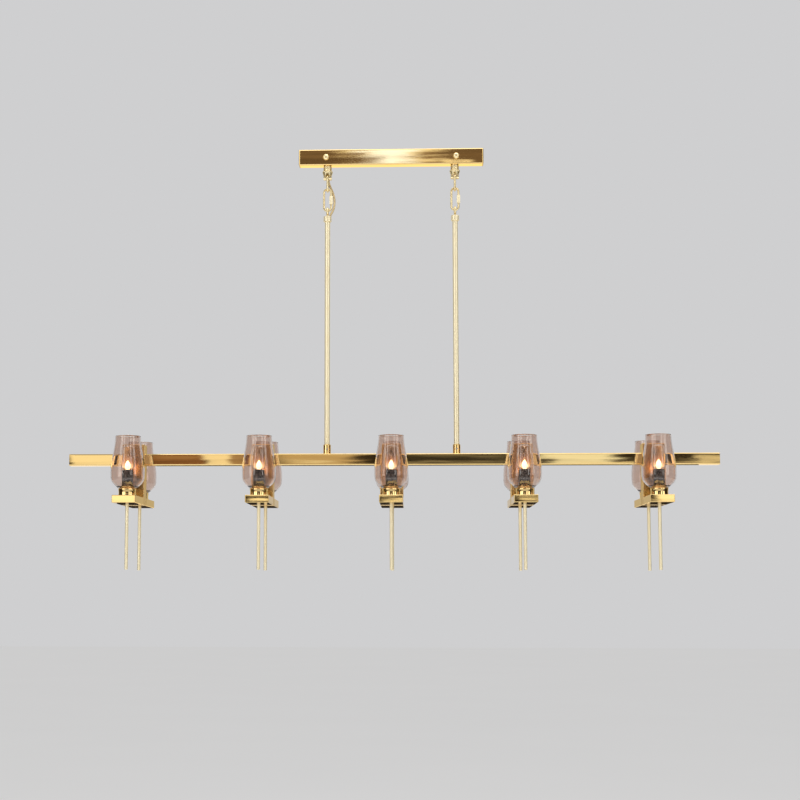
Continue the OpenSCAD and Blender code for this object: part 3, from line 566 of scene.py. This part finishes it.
@dataclass
class Workshop:
    """Turns surfaces into pieces that ride on the frame's bodies.

    A face that spans the seam of the texture has one corner below the first of the two shares
    of a turn in SEAM, and one above the second.
    """

    SEAM = (0.25, 0.75)

    finishes: Finishes

    def piece(self, name: str, surface: Surface, slot: Slot, body: str | None, replaces: Sequence[str] = (),
              material: bpy.types.Material | None = None, sharp: float = 32.0) -> bpy.types.Object:
        """Makes one piece.

        Args:
            name: Name of the piece.
            surface: Its shape, where it stands in the frame.
            slot: Material slot that it takes its finish from.
            body: Body that it rides on, or None if the caller sees to that.
            replaces: Frame nodes that it stands for.
            material: A material other than the slot's own.
            sharp: Angle between faces above which an edge stays sharp, in degrees.

        Returns:
            The new object.
        """
        mesh = bpy.data.meshes.new(name)
        faces = surface.quads.tolist() + surface.tris.tolist()
        mesh.from_pydata(surface.points.tolist(), [], faces)
        layer = mesh.uv_layers.new(name="UVMap")
        corners = np.zeros(len(mesh.loops), np.int32)
        mesh.loops.foreach_get("vertex_index", corners)
        layer.data.foreach_set("uv", self._unwrapped(mesh, surface.uv, corners).ravel())
        mesh.polygons.foreach_set("use_smooth", np.ones(len(mesh.polygons), bool))
        mesh.set_sharp_from_angle(angle=math.radians(sharp))
        mesh.materials.append(material or self.finishes[slot])
        mesh.validate()
        made = bpy.data.objects.new(name, mesh)
        bpy.context.scene.collection.objects.link(made)
        if body is not None:
            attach(made, body)
        if replaces:
            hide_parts(*replaces)
        LOG.info("%s: %d faces", name, len(faces))
        return made

    def _unwrapped(self, mesh: bpy.types.Mesh, uv: np.ndarray, corners: np.ndarray) -> np.ndarray:
        """Texture coordinates of the face corners, with the seam's last column carried on to 1."""
        flat = uv[corners].astype(np.float32)
        starts = np.zeros(len(mesh.polygons), np.int32)
        totals = np.zeros(len(mesh.polygons), np.int32)
        mesh.polygons.foreach_get("loop_start", starts)
        mesh.polygons.foreach_get("loop_total", totals)
        owner = np.repeat(np.arange(len(starts)), totals)
        order = np.argsort(starts, kind="stable")
        highest = np.zeros(len(starts), np.float32)
        np.maximum.at(highest, order[owner], flat[:, 0])
        wraps = (highest[order[owner]] > self.SEAM[1]) & (flat[:, 0] < self.SEAM[0])
        flat[wraps, 0] += 1
        return flat

    def paint(self, nodes: dict[str, bpy.types.Object], record: dict) -> None:
        """Gives every frame node the material of its slot in the record, except the station boxes, which
        get brushed brass.
        """
        for part in record["subparts"]:
            shown = nodes[part["node"]]
            brushed = part["node"].startswith("station_box")
            material = self.finishes.brushed if brushed else self.finishes[Slot(part["material_slot"])]
            for index in range(len(shown.data.materials)):
                shown.data.materials[index] = material


@dataclass(frozen=True)
class CordMaker:
    """The supply cord, from the left hook's nozzle to the left rod's collar.

    Attributes:
        route: Points of its middle line in mm, from the axis of the left hook.
        diameter: Thickness of the cord.
        bend_from: Not used; height at which the cord would begin to turn with the screw link.
        bend_reach: Not used; length over which it would take up the whole turn, ending two thirds of the
            way, so that its foot stays in the collar's hole.
        bend_lean: Not used; how much further along a point would count for each metre to the right, which
            would keep the bulge of the cord clear of the screw link's sleeve.
    """

    route: tuple[tuple[float, float, float], ...] = (
        (0.8, 13.5, -55), (0.8, 13.5, -59.5), (1.8, 13.7, -68), (5, 13, -78),
        (9.2, 11.2, -88), (12.6, 8.7, -98), (14.6, 6, -108), (15, 3.6, -118),
        (13.8, 1.6, -128), (11, 0.5, -136.2), (7.8, 0, -142.4),
        (5.9, 0, -147), (5.6, 0, -149.4), (5.6, 0, -151.7))
    diameter: float = 0.005
    bend_from: float = -0.053
    bend_reach: float = 0.1964
    bend_lean: float = 4.18

    def make(self, shop: Workshop, layout: Layout) -> None:
        points = np.array(self.route) * MM - np.array([layout.hanger_x, 0, 0])
        line = Former.smooth(points, 6)
        tube = Former.swept(line, self.diameter / 2, 20)
        cord = shop.piece("supply_cord_braid", tube, Slot.CORD, None, ["supply_cord"])
        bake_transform(cord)


@dataclass(frozen=True)
class ShadeMaker:
    """The ten blown glass shades.

    Attributes:
        height: Height of the shade.
        rim: Diameter of the rim.
        belly: Diameter of the belly.
        belly_at: Height of the belly.
        turn_at: Height at which the foot turns up into the side.
        foot: Diameter of the foot.
        wall: Thickness of the glass.
        hole: Radius of the hole in the foot.
    """

    height: float = 0.112
    rim: float = 0.054
    belly: float = 0.072
    belly_at: float = 0.036
    turn_at: float = 0.0155
    foot: float = 0.038
    wall: float = 0.002
    hole: float = 0.015

    def outline(self, inset: float) -> np.ndarray:
        """Side of the glass from foot to rim, moved in by a distance.

        The lower part is a cubic curve with both handles at the turn, and the upper part is
        r = rim + (belly - rim) (1 + cos(pi t)) / 2.
        """
        t = np.linspace(0, 1, 17)[:, None]
        ends = np.array([[self.foot / 2, 0.0], [self.belly / 2, self.belly_at]])
        turn = np.array([[self.belly / 2, self.turn_at]])
        low = (1 - t) ** 3 * ends[:1] + 3 * t * (1 - t) * turn + t**3 * ends[1:]
        s = np.linspace(0, 1, 25)[1:]
        r = self.rim / 2 + (self.belly - self.rim) / 2 * (1 + np.cos(math.pi * s)) / 2
        high = np.stack([r, self.belly_at + (self.height - self.belly_at) * s], -1)
        line = np.vstack([low, high])
        slope = np.gradient(line, axis=0)
        slope /= np.linalg.norm(slope, axis=1, keepdims=True)
        return line + inset * np.stack([-slope[:, 1], slope[:, 0]], -1)

    def profile(self) -> np.ndarray:
        """Closed profile of the glass, anticlockwise, with a rounded rim and a flat foot."""
        outer, inner = self.outline(0.0), self.outline(self.wall)
        floor = self.wall * 1.3
        inner = inner[inner[:, 1] > floor * 1.02][::-1]
        middle = np.array([self.rim / 2 - self.wall / 2, self.height - self.wall / 2])
        lip = Former.arc(middle, self.wall / 2, 0, 180, 8)
        outer = outer[outer[:, 1] < self.height - self.wall / 2]
        inner = inner[inner[:, 1] < self.height - self.wall / 2]
        bend = Former.filleted(np.vstack([inner[-1:], [[inner[-1, 0] - self.wall, floor]],
                                          [[self.hole + 0.0006, floor]]]), 0.0015)
        hole = np.array([[self.hole, floor - 0.0006], [self.hole, 0.0006], [self.hole + 0.0006, 0.0]])
        return np.vstack([outer, lip, inner, bend, hole])

    def make(self, shop: Workshop, layout: Layout) -> None:
        """Makes one piece for each lamp."""
        glass = Former.turned(self.profile(), 96, closed=True)
        for station, side, place in layout.lamps():
            node = f"shade_{station}_{side.word}"
            shop.piece(f"glass_{station}_{side.word}", glass.moved(place + [0, 0, layout.cup_top]),
                       Slot.SMOKED, node, [node], sharp=60)


@dataclass(frozen=True)
class BulbMaker:
    """The tubular bulbs, each with a stem, support wires and a flame-shaped light source.

    Attributes:
        diameter: Diameter of the glass tube.
        height: Height of the glass above its cap.
        dome: Height of the domed top.
        neck: Radius of the glass at the cap.
        wall: Thickness of the glass.
        lip: Height of the glass's foot above the candle sleeve.
        flame: Greatest radius and height of the light source.
        haze: Height of the haze's lower edge and its length upwards.
        stem: Profile of the stem, before its corners are rounded.
        wire: Radius of a support wire.
        wire_count: Number of support wires.
        wire_turn: Angle of the first one, in radians.
        wire_ring: Radius of the ring that they stand on, and how far they lean out.
        wire_rise: Height of their feet, and how far they rise from there.
    """

    diameter: float = 0.028
    height: float = 0.052
    dome: float = 0.009
    neck: float = 0.0064
    wall: float = 0.0008
    lip: float = 0.001
    flame: tuple[float, float] = (0.0060, 0.0200)
    haze: tuple[float, float] = (0.0055, 0.0345)
    stem: tuple[tuple[float, float], ...] = (
        (0.0001, 0.0), (0.0050, 0.0), (0.0034, 0.004), (0.0016, 0.008),
        (0.0012, 0.030), (0.0020, 0.032), (0.0001, 0.033))
    wire: float = 0.00022
    wire_count: int = 4
    wire_turn: float = 0.4
    wire_ring: tuple[float, float] = (0.0088, 0.0012)
    wire_rise: tuple[float, float] = (0.003, 0.040)

    def _outline(self, inset: float) -> np.ndarray:
        """Side of the glass from neck to tip: a short taper, a straight tube and an elliptic dome."""
        r = self.diameter / 2 - inset
        t = np.linspace(0, 1, 9)[:, None]
        handles = np.array([[self.neck - inset, 0], [r * 0.8, 0.0006], [r, 0.0024], [r, 0.006]])
        taper = ((1 - t) ** 3 * handles[0] + 3 * (1 - t) ** 2 * t * handles[1]
                 + 3 * (1 - t) * t**2 * handles[2] + t**3 * handles[3])
        a = np.radians(np.linspace(0, 89, 12))
        top = self.height - self.dome
        crown = np.stack([r * np.cos(a), top + (self.dome - inset) * np.sin(a)], -1)
        return np.vstack([taper, [[r, top * 0.5]], crown])

    def make(self, shop: Workshop, layout: Layout) -> None:
        """Makes the glass of all ten as one piece, then their lights, stems and wires."""
        base = layout.candle_top + self.lip
        outer, inner = self._outline(0.0), self._outline(self.wall)[::-1]
        inner[:, 1] += self.wall * 0.3
        inner = inner[inner[:, 1] > 0]
        glass = self._shell(outer, inner)
        flame, haze = Former.turned(self._flame(), 32), self._haze()
        stem = Former.turned(Former.filleted(self.stem, 0.001), 20)
        wires = Surface.joined([Former.swept(self._wire(k), self.wire, 8) for k in range(self.wire_count)])
        places = [place + [0, 0, base] for _, _, place in layout.lamps()]

        def ten(one: Surface) -> Surface:
            return Surface.joined([one.moved(at) for at in places])

        light, haze_look, wire_look = shop.finishes.glow, shop.finishes.haze, shop.finishes.filament
        shop.piece("bulb_glass", ten(glass), Slot.CLEAR, "pendant", ["bulbs"], sharp=60)
        shop.piece("bulb_glow", ten(flame), Slot.CLEAR, "pendant", material=light, sharp=80)
        shop.piece("bulb_haze", ten(haze), Slot.CLEAR, "pendant", material=haze_look, sharp=80)
        shop.piece("bulb_stems", ten(stem), Slot.CLEAR, "pendant", sharp=60)
        shop.piece("bulb_wires", ten(wires), Slot.STEEL, "pendant", material=wire_look)

    @staticmethod
    def _shell(outer: np.ndarray, inner: np.ndarray) -> Surface:
        """Glass envelope: an outer and an inner skin that meet at the neck and close at the tip."""
        return Former.turned(np.vstack([inner[:1] * [0.02, 1], inner, outer, outer[-1:] * [0.02, 1]]), 48)

    def _flame(self) -> np.ndarray:
        """Profile of the light: r = R sin(pi s^0.63)^0.85, widest a third of the way up."""
        s = np.linspace(0.012, 0.995, 22)
        r = self.flame[0] * np.sin(math.pi * s**0.63) ** 0.85
        return np.stack([r, 0.0005 + self.flame[1] * s], -1)

    def _haze(self) -> Surface:
        """A thin bell inside the glass: r = R (1 - 0.12 s^2), closed at both ends."""
        s = np.linspace(0, 1, 12)
        r = (self.diameter / 2 - self.wall - 0.0012) * (1 - 0.12 * s**2)
        line = np.stack([r, self.haze[0] + self.haze[1] * s], -1)
        return Former.turned(np.vstack([[[0.004, 0.0015]], line, [[0.002, 0.0405]]]), 32)

    def _wire(self, k: int) -> np.ndarray:
        """One of the support wires, which lean out from the foot and back in at the top."""
        angle = 2 * math.pi * k / self.wire_count + self.wire_turn
        s = np.linspace(0, 1, 13)
        r = self.wire_ring[0] + self.wire_ring[1] * np.sin(math.pi * s)
        z = self.wire_rise[0] + self.wire_rise[1] * s
        return np.stack([r * np.cos(angle), r * np.sin(angle), z], -1)


@dataclass(frozen=True)
class HookMaker:
    """Milled rings on the two hooks: crossed grooves round the neck, a coin edge round the shoulder.

    Attributes:
        neck_r: Radius of the neck in mm.
        shoulder_r: Radius of the shoulder in mm.
        neck: Heights of the neck's ring in mm, top first.
        shoulder: Heights of the shoulder's ring in mm, top first.
        grooves: Number n in the formula of the crossed grooves.
        flutes: Number n in the formula of the flutes, half of their count.
    """

    neck_r: float = 8.4
    shoulder_r: float = 10.75
    neck: tuple[float, float] = (-36.6, -44.6)
    shoulder: tuple[float, float] = (-47.4, -50.6)
    grooves: int = 12
    flutes: int = 18

    def make(self, shop: Workshop, layout: Layout) -> None:
        """Makes both rings of each hook as one piece."""
        rings = Surface.joined([self._crossed(), self._coin_edge()])
        for word, sign in (("left", -1), ("right", 1)):
            at = np.array([sign * layout.hanger_x, 0, 0])
            shop.piece(f"hook_milling_{word}", rings.moved(at), Slot.PALE, "canopy", sharp=20)

    def _crossed(self) -> Surface:
        """Crossed grooves: r = r0 + 0.2 + 0.36 e |sin(n a + w z) sin(n a - w z)|^0.7, in mm."""
        z, a, ease = self._grid(self.neck, rows=29, cols=144)
        w = 2 * math.pi / 4
        waves = np.sin(self.grooves * a + w * z) * np.sin(self.grooves * a - w * z)
        return self._ring(z, a, self.neck_r + 0.2 + 0.36 * ease * np.abs(waves) ** 0.7, self.neck_r - 0.4)

    def _coin_edge(self) -> Surface:
        """Upright flutes: r = r0 + 0.08 + 0.3 e |sin(n a)|, in mm."""
        z, a, ease = self._grid(self.shoulder, rows=9, cols=288)
        waves = np.sin(self.flutes * a)
        return self._ring(z, a, self.shoulder_r + 0.08 + 0.3 * ease * np.abs(waves), self.shoulder_r - 0.8)

    @staticmethod
    def _grid(span: tuple[float, float], rows: int, cols: int) -> tuple[np.ndarray, np.ndarray, np.ndarray]:
        """Heights from below, angles, and a factor that fades to 0 over the last 0.7 mm at each edge."""
        z = np.linspace(span[1], span[0], rows)[:, None]
        a = 2 * math.pi * np.arange(cols)[None] / cols
        return z, a, np.clip(np.minimum(z - span[1], span[0] - z) / 0.7, 0, 1)

    @staticmethod
    def _ring(z: np.ndarray, a: np.ndarray, r: np.ndarray, inner_r: float) -> Surface:
        """Closed ring with the given outside and a plain inside."""
        r = np.broadcast_to(r, (len(z), a.shape[1]))
        outside = np.stack([r * np.cos(a), r * np.sin(a), np.broadcast_to(z, r.shape)], -1)
        bore = np.concatenate([inner_r * np.cos(a), inner_r * np.sin(a), 0 * a]).T
        inside = np.stack([bore + [0, 0, z[-1, 0]], bore + [0, 0, z[0, 0]]])
        points = np.concatenate([outside, inside]).reshape(-1, 3) * MM
        uv = np.zeros((len(points), 2))
        return Surface(points, Former.ring_faces(len(z) + 2, a.shape[1]), uv)


@dataclass(frozen=True)
class Patch:
    """A small glowing card behind the camera that one upright polished face mirrors.

    Attributes:
        name: Name of the card.
        seen_at: Place on the object where the camera sees its middle, or the card's own place
            if an underside mirrors it.
        size: Width and height of the card.
        colour: Its colour.
        radiance: Its brightness; 1 gives the full colour of the metal.
        soft: Width of the fade at its left and right ends.
        ragged: How far streaks shift those ends.
        grain: Share of the light that streaks take away.
    """

    name: str
    seen_at: tuple[float, float, float]
    size: tuple[float, float]
    colour: Colour
    radiance: float
    soft: float = 0.02
    ragged: float = 0.02
    grain: float = 0.15

    def place(self, eye: Sequence[float], plane: float) -> tuple[float, float, float]:
        """Where the light hangs in the plane Y = plane: the sight line, mirrored at the face."""
        x, y, z = self.seen_at
        k = (y - plane) / (y - eye[1])
        return x + k * (x - eye[0]), plane, z + k * (z - eye[2])

    def corners(self) -> Sequence[Sequence[float]]:
        """Corners of the card about its middle, with room for the fade."""
        half, tall = self.size[0] / 2 + self.soft + self.ragged, self.size[1] / 2
        return (-half, 0, -tall), (half, 0, -tall), (half, 0, tall), (-half, 0, tall)

    def material(self) -> bpy.types.Material:
        """Glow that fades out at all four edges, along level streaks."""
        g = Graph(f"glow_{self.name}")
        streak = g.ramp(g.noise(50, (0.022, 1, 1), 3), 0.3, 0.7)
        half, tall = self.size[0] / 2, self.size[1] / 2
        out = g.own("X").size() + (streak - 0.5) * (1.6 * self.ragged)
        across = 1.0 - g.ramp(out, half - self.soft, half + self.soft)
        upright = 1.0 - g.ramp(g.own("Z").size(), tall * 0.5, tall)
        return g.finish(Base_Color=(0.0, 0.0, 0.0, 1.0), Roughness=1.0, Specular_IOR_Level=0.0,
                        Emission_Color=(*self.colour, 1.0), Emission_Strength=self.radiance,
                        Alpha=across * upright * (1.0 - streak * self.grain))


class Studio:
    """Camera, floor, background, cards and lights.

    The camera was fitted to the photograph: its focal length and shift are in pixels, and its
    angles in radians. Each dark card has a name, its lower and its upper corner, and how far it
    is then moved along X. Each soft box has a name, its place, the way it faces, its size and its
    radiance.
    """

    LENS_PX = 1625.0
    SHIFT_PX = 60.0
    EYE = (0.0477, -3.5033, -0.9560)
    YAW, PITCH, ROLL = -0.04558, 0.11399, 0.00124
    PATCH_Y = -4.5
    PATCH_STEP = 0.002
    FADE = (1.75, 3.1)
    STEEP = 0.95
    FRAME_PX = 800
    SENSOR_MM = 36
    VIEW_END = 60
    FLOOR_Z = -2.2
    FLOOR_HALF = 30.0
    WORLD: Colour = (0.80, 0.80, 0.81)
    WORLD_STRENGTH = 0.78
    WHITE: Colour = (1.0, 0.98, 0.95)
    CREAM: Colour = (1.0, 0.95, 0.84)
    AMBER: Colour = (1.0, 0.70, 0.48)
    RUSSET: Colour = (1.0, 0.50, 0.26)
    ORANGE: Colour = (1.0, 0.62, 0.36)
    HONEY: Colour = (1.0, 0.80, 0.56)
    SKY: Colour = (0.90, 0.96, 1.0)
    COOL: Colour = (0.58, 0.68, 1.0)
    PATCHES = (
        Patch("fill_low", (0.0, -0.0125, -0.997), (4.2, 0.86), AMBER, 0.50, 0.5, 0.3, 0.4),
        Patch("fill_low_left", (-0.41, -0.0125, -0.997), (0.60, 0.86), CREAM, 1.05, 0.12, 0.12, 0.3),
        Patch("fill_low_right", (0.43, -0.0125, -0.997), (0.50, 0.86), CREAM, 0.95, 0.12, 0.12, 0.3),
        Patch("fill_high", (0.0, -0.0125, -0.3845), (4.2, 0.80), AMBER, 0.38, 0.5, 0.3, 0.4),
        Patch("fill_high_mid", (-0.03, -0.0125, -0.3845), (0.34, 0.80), CREAM, 1.20, 0.10, 0.16, 0.3),
        Patch("canopy_back", (0.000, -0.013, -0.017), (1.20, 0.50), AMBER, 0.26, 0.10, 0.10, 0.5),
        Patch("canopy_glow", (0.008, -0.013, -0.017), (0.46, 0.50), AMBER, 0.30, 0.10, 0.16, 0.4),
        Patch("canopy_wide", (0.006, -0.013, -0.017), (0.26, 0.50), CREAM, 1.25, 0.05, 0.30, 0.35),
        Patch("canopy_core", (-0.002, -0.013, -0.017), (0.17, 0.50), COOL, 2.7, 0.05, 0.16, 0.1),
        Patch("canopy_foot", (0.145, -0.013, -0.0305), (0.15, 0.014), CREAM, 1.5),
        Patch("bar_left", (-0.645, -0.0125, -0.687), (0.24, 0.30), CREAM, 1.35, 0.02, 0.02, 0.25),
        Patch("bar_russet", (-0.463, -0.0125, -0.685), (0.29, 0.30), RUSSET, 0.34, 0.03, 0.02, 0.5),
        Patch("bar_russet_top", (-0.463, -0.0125, -0.679), (0.24, 0.022), ORANGE, 0.42, 0.06, 0.05, 0.3),
        Patch("bar_fade", (-0.352, -0.0125, -0.685), (0.20, 0.30), AMBER, 0.55, 0.05, 0.05, 0.4),
        Patch("bar_pale", (-0.378, -0.0125, -0.685), (0.125, 0.30), CREAM, 1.25, 0.02, 0.04, 0.3),
        Patch("bar_amber", (-0.167, -0.0125, -0.687), (0.38, 0.30), HONEY, 0.75, 0.06, 0.12, 0.45),
        Patch("bar_amber_low", (-0.19, -0.0125, -0.6905), (0.26, 0.020), CREAM, 0.95, 0.06, 0.08, 0.3),
        Patch("bar_olive", (0.144, -0.0125, -0.685), (0.54, 0.30), CREAM, 0.05, 0.04, 0.04, 0.6),
        Patch("bar_olive_top", (0.144, -0.0125, -0.677), (0.52, 0.018), CREAM, 0.22, 0.05, 0.08, 0.4),
        Patch("bar_olive_low", (0.144, -0.0125, -0.6925), (0.52, 0.018), CREAM, 0.30, 0.05, 0.08, 0.4),
        Patch("bar_cream", (0.396, -0.0125, -0.685), (0.36, 0.30), SKY, 1.40, 0.04, 0.12, 0.35),
        Patch("bar_edge_low", (0.55, -0.0125, -0.693), (0.60, 0.014), CREAM, 1.0, 0.04, 0.08, 0.2),
        Patch("bar_right", (0.680, -0.0125, -0.685), (0.15, 0.045), CREAM, 1.0, 0.02, 0.04, 0.4),
        Patch("arm_1", (-0.56, -0.125, -0.775), (0.15, 0.10), CREAM, 1.7),
        Patch("arm_2_top", (-0.280, -0.125, -0.7695), (0.12, 0.010), CREAM, 1.5),
        Patch("arm_2_low", (-0.275, -0.125, -0.7785), (0.10, 0.016), CREAM, 1.5),
        Patch("arm_3_top", (0.000, -0.125, -0.7695), (0.12, 0.010), CREAM, 1.4),
        Patch("arm_3_low", (0.006, -0.125, -0.7785), (0.10, 0.014), CREAM, 1.5),
        Patch("arm_4_top", (0.280, -0.125, -0.7695), (0.12, 0.010), CREAM, 1.4),
        Patch("arm_4_low", (0.288, -0.125, -0.7785), (0.10, 0.016), CREAM, 1.5),
        Patch("arm_5", (0.570, -0.125, -0.775), (0.10, 0.10), CREAM, 1.6),
        Patch("arm_5_low", (0.560, -0.125, -0.780), (0.12, 0.010), CREAM, 1.0),
    )
    UNDERSIDES = (
        Patch("under_canopy", (-0.1, 7.0, -1.88), (2.2, 0.70), CREAM, 1.7, 0.2, 0.1, 0.3),
        Patch("under_bar", (-0.1, 12.0, -1.62), (7.4, 0.28), CREAM, 1.6, 0.3, 0.3, 0.3),
    )
    DARK_CARDS = (
        ("card_front", (-3.1, -4.6, -1.5), (3.1, -4.6, 2.4), 0.0),
        ("card_left", (-1.7, -3.0, -1.7), (-1.7, 2.2, 1.0), -1.7),
        ("card_right", (1.7, -3.0, -1.7), (1.7, 2.2, 1.0), 1.7),
        ("card_arms", (-1.7, 6.0, -1.17), (1.7, 6.0, -1.0), 0.0),
    )
    SOFT_BOXES = (
        ("overhead", (0.3, -0.6, 2.4), (0, 0, -1), (2.6, 1.6), 3.4),
        ("from_below", (0.0, -2.3, -2.15), (0, 0, 1), (3.4, 1.2), 1.5),
        ("side_left", (-2.9, -2.2, 0.1), (1, 0.75, -0.15), (1.2, 2.4), 2.2),
        ("side_right", (3.0, -1.9, 0.3), (-1, 0.65, -0.2), (1.1, 2.4), 2.0),
        ("strip_left", (-1.9, -3.4, 0.3), (1, 1.8, -0.6), (0.60, 2.4), 2.6),
        ("strip_right", (1.7, -3.4, 0.3), (-1, 2.0, -0.6), (0.55, 2.4), 2.4),
    )

    def make(self) -> None:
        """Sets up everything that isn't part of the object."""
        self._camera()
        self._floor()
        self._background()
        self._cards()
        self._lights()
        bpy.context.scene.view_settings.view_transform = "Standard"

    def _camera(self) -> None:
        """The photograph's camera. Its axes are right = cos r ex + sin r up, and so on."""
        cy, sy = math.cos(self.YAW), math.sin(self.YAW)
        cp, sp = math.cos(self.PITCH), math.sin(self.PITCH)
        cr, sr = math.cos(self.ROLL), math.sin(self.ROLL)
        ex, ey = np.array([cy, -sy, 0]), np.array([sy, cy, 0])
        ahead = cp * ey + [0, 0, sp]
        up0 = -sp * ey + [0, 0, cp]
        right, up = cr * ex + sr * up0, -sr * ex + cr * up0
        data = bpy.data.cameras.new("camera")
        data.sensor_width = self.SENSOR_MM
        data.lens = self.LENS_PX / self.FRAME_PX * self.SENSOR_MM
        data.shift_x = self.SHIFT_PX / self.FRAME_PX
        data.clip_end = self.VIEW_END
        camera = bpy.data.objects.new("camera", data)
        bpy.context.scene.collection.objects.link(camera)
        turn = Matrix(np.stack([right, up, -ahead], 1).tolist()).to_4x4()
        camera.matrix_world = Matrix.Translation(self.EYE) @ turn
        bpy.context.scene.camera = camera

    def _floor(self) -> None:
        """A large pale floor under the light."""
        g = Graph("studio_floor")
        tone = g.mix(g.noise(0.8, detail=3), (0.78, 0.775, 0.765), (0.80, 0.795, 0.785))
        material = g.finish(Base_Color=tone, Roughness=0.85, Specular_IOR_Level=0.0,
                            Emission_Color=(1.0, 1.0, 1.0, 1.0), Emission_Strength=0.12)
        half, z = self.FLOOR_HALF, self.FLOOR_Z
        corners = (-half, -half, z), (half, -half, z), (half, half, z), (-half, half, z)
        self._sheet("floor", corners, material)

    @staticmethod
    def _sheet(name: str, corners: Sequence[Sequence[float]],
               material: bpy.types.Material) -> bpy.types.Object:
        """Makes a flat four-sided piece of the studio."""
        mesh = bpy.data.meshes.new(name)
        mesh.from_pydata(corners, [], [(0, 1, 2, 3)])
        mesh.materials.append(material)
        sheet = bpy.data.objects.new(name, mesh)
        bpy.context.scene.collection.objects.link(sheet)
        return sheet

    def _background(self) -> None:
        """Even pale light from all round."""
        world = bpy.context.scene.world or bpy.data.worlds.new("world")
        bpy.context.scene.world = world
        world.use_nodes = True
        back = next(n for n in world.node_tree.nodes if n.type == "BACKGROUND")
        back.inputs[0].default_value = (*self.WORLD, 1)
        back.inputs[1].default_value = self.WORLD_STRENGTH

    def _cards(self) -> None:
        """Dark cards behind the camera, at both sides and for the arms' undersides to mirror.

        They fade out where their own X is large, which only the front card's ends are. The side
        cards are drawn at half their distance and moved out by the other half, so they stay whole.
        """
        g = Graph("studio_card")
        felt = g.mix(g.noise(3.0, detail=4), (0.020, 0.013, 0.007), (0.034, 0.022, 0.012))
        edge = g.ramp(g.own("X").size(), *self.FADE)
        material = g.finish(Base_Color=felt, Roughness=0.9, Alpha=1.0 - edge)
        for name, low, high, shift in self.DARK_CARDS:
            corners = low, (*high[:2], low[2]), high, (*low[:2], high[2])
            self._card(name, corners, material).location.x = shift

    def _card(self, name: str, corners: Sequence[Sequence[float]],
              material: bpy.types.Material) -> bpy.types.Object:
        """Makes a flat card that only mirrors show."""
        card = self._sheet(name, corners, material)
        card.visible_camera = False
        card.visible_shadow = False
        card.visible_diffuse = False
        card.visible_transmission = False
        return card

    def _lights(self) -> None:
        """The glowing cards, then soft boxes overhead and at the sides, and strips for the glass."""
        for number, patch in enumerate(self.PATCHES):
            place = patch.place(self.EYE, self.PATCH_Y + self.PATCH_STEP * number)
            self._card(patch.name, patch.corners(), patch.material()).location = place
        for patch in self.UNDERSIDES:
            self._card(patch.name, patch.corners(), patch.material()).location = patch.seen_at
        for box in self.SOFT_BOXES:
            self._box_light(*box)

    def _box_light(self, name: str, place: Sequence[float], towards: Sequence[float],
                   size: tuple[float, float], radiance: float) -> None:
        """Adds a rectangular light. Its power is pi x area x radiance."""
        data = bpy.data.lights.new(name, "AREA")
        data.shape = "RECTANGLE"
        data.size, data.size_y = size
        data.energy = math.pi * size[0] * size[1] * radiance
        data.color = self.WHITE
        lamp = bpy.data.objects.new(name, data)
        bpy.context.scene.collection.objects.link(lamp)
        away = -np.asarray(towards, float) / np.linalg.norm(towards)
        side = np.cross([0, 0, 1], away) if abs(away[2]) < self.STEEP else np.array([1.0, 0, 0])
        side /= np.linalg.norm(side)
        turn = Matrix(np.stack([side, np.cross(away, side), away], 1).tolist()).to_4x4()
        lamp.matrix_world = Matrix.Translation(place) @ turn
        lamp.visible_camera = False


def main() -> None:
    """Builds the scene: camera first, then the cord, then the other pieces."""
    logging.basicConfig(level=logging.INFO, format="%(message)s")
    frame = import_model()
    Studio().make()
    layout = Layout.from_frame()
    shop = Workshop(Finishes())
    CordMaker().make(shop, layout)
    shop.paint(frame["nodes"], frame["record"])
    ShadeMaker().make(shop, layout)
    BulbMaker().make(shop, layout)
    HookMaker().make(shop, layout)


if __name__ == "__main__":
    main()
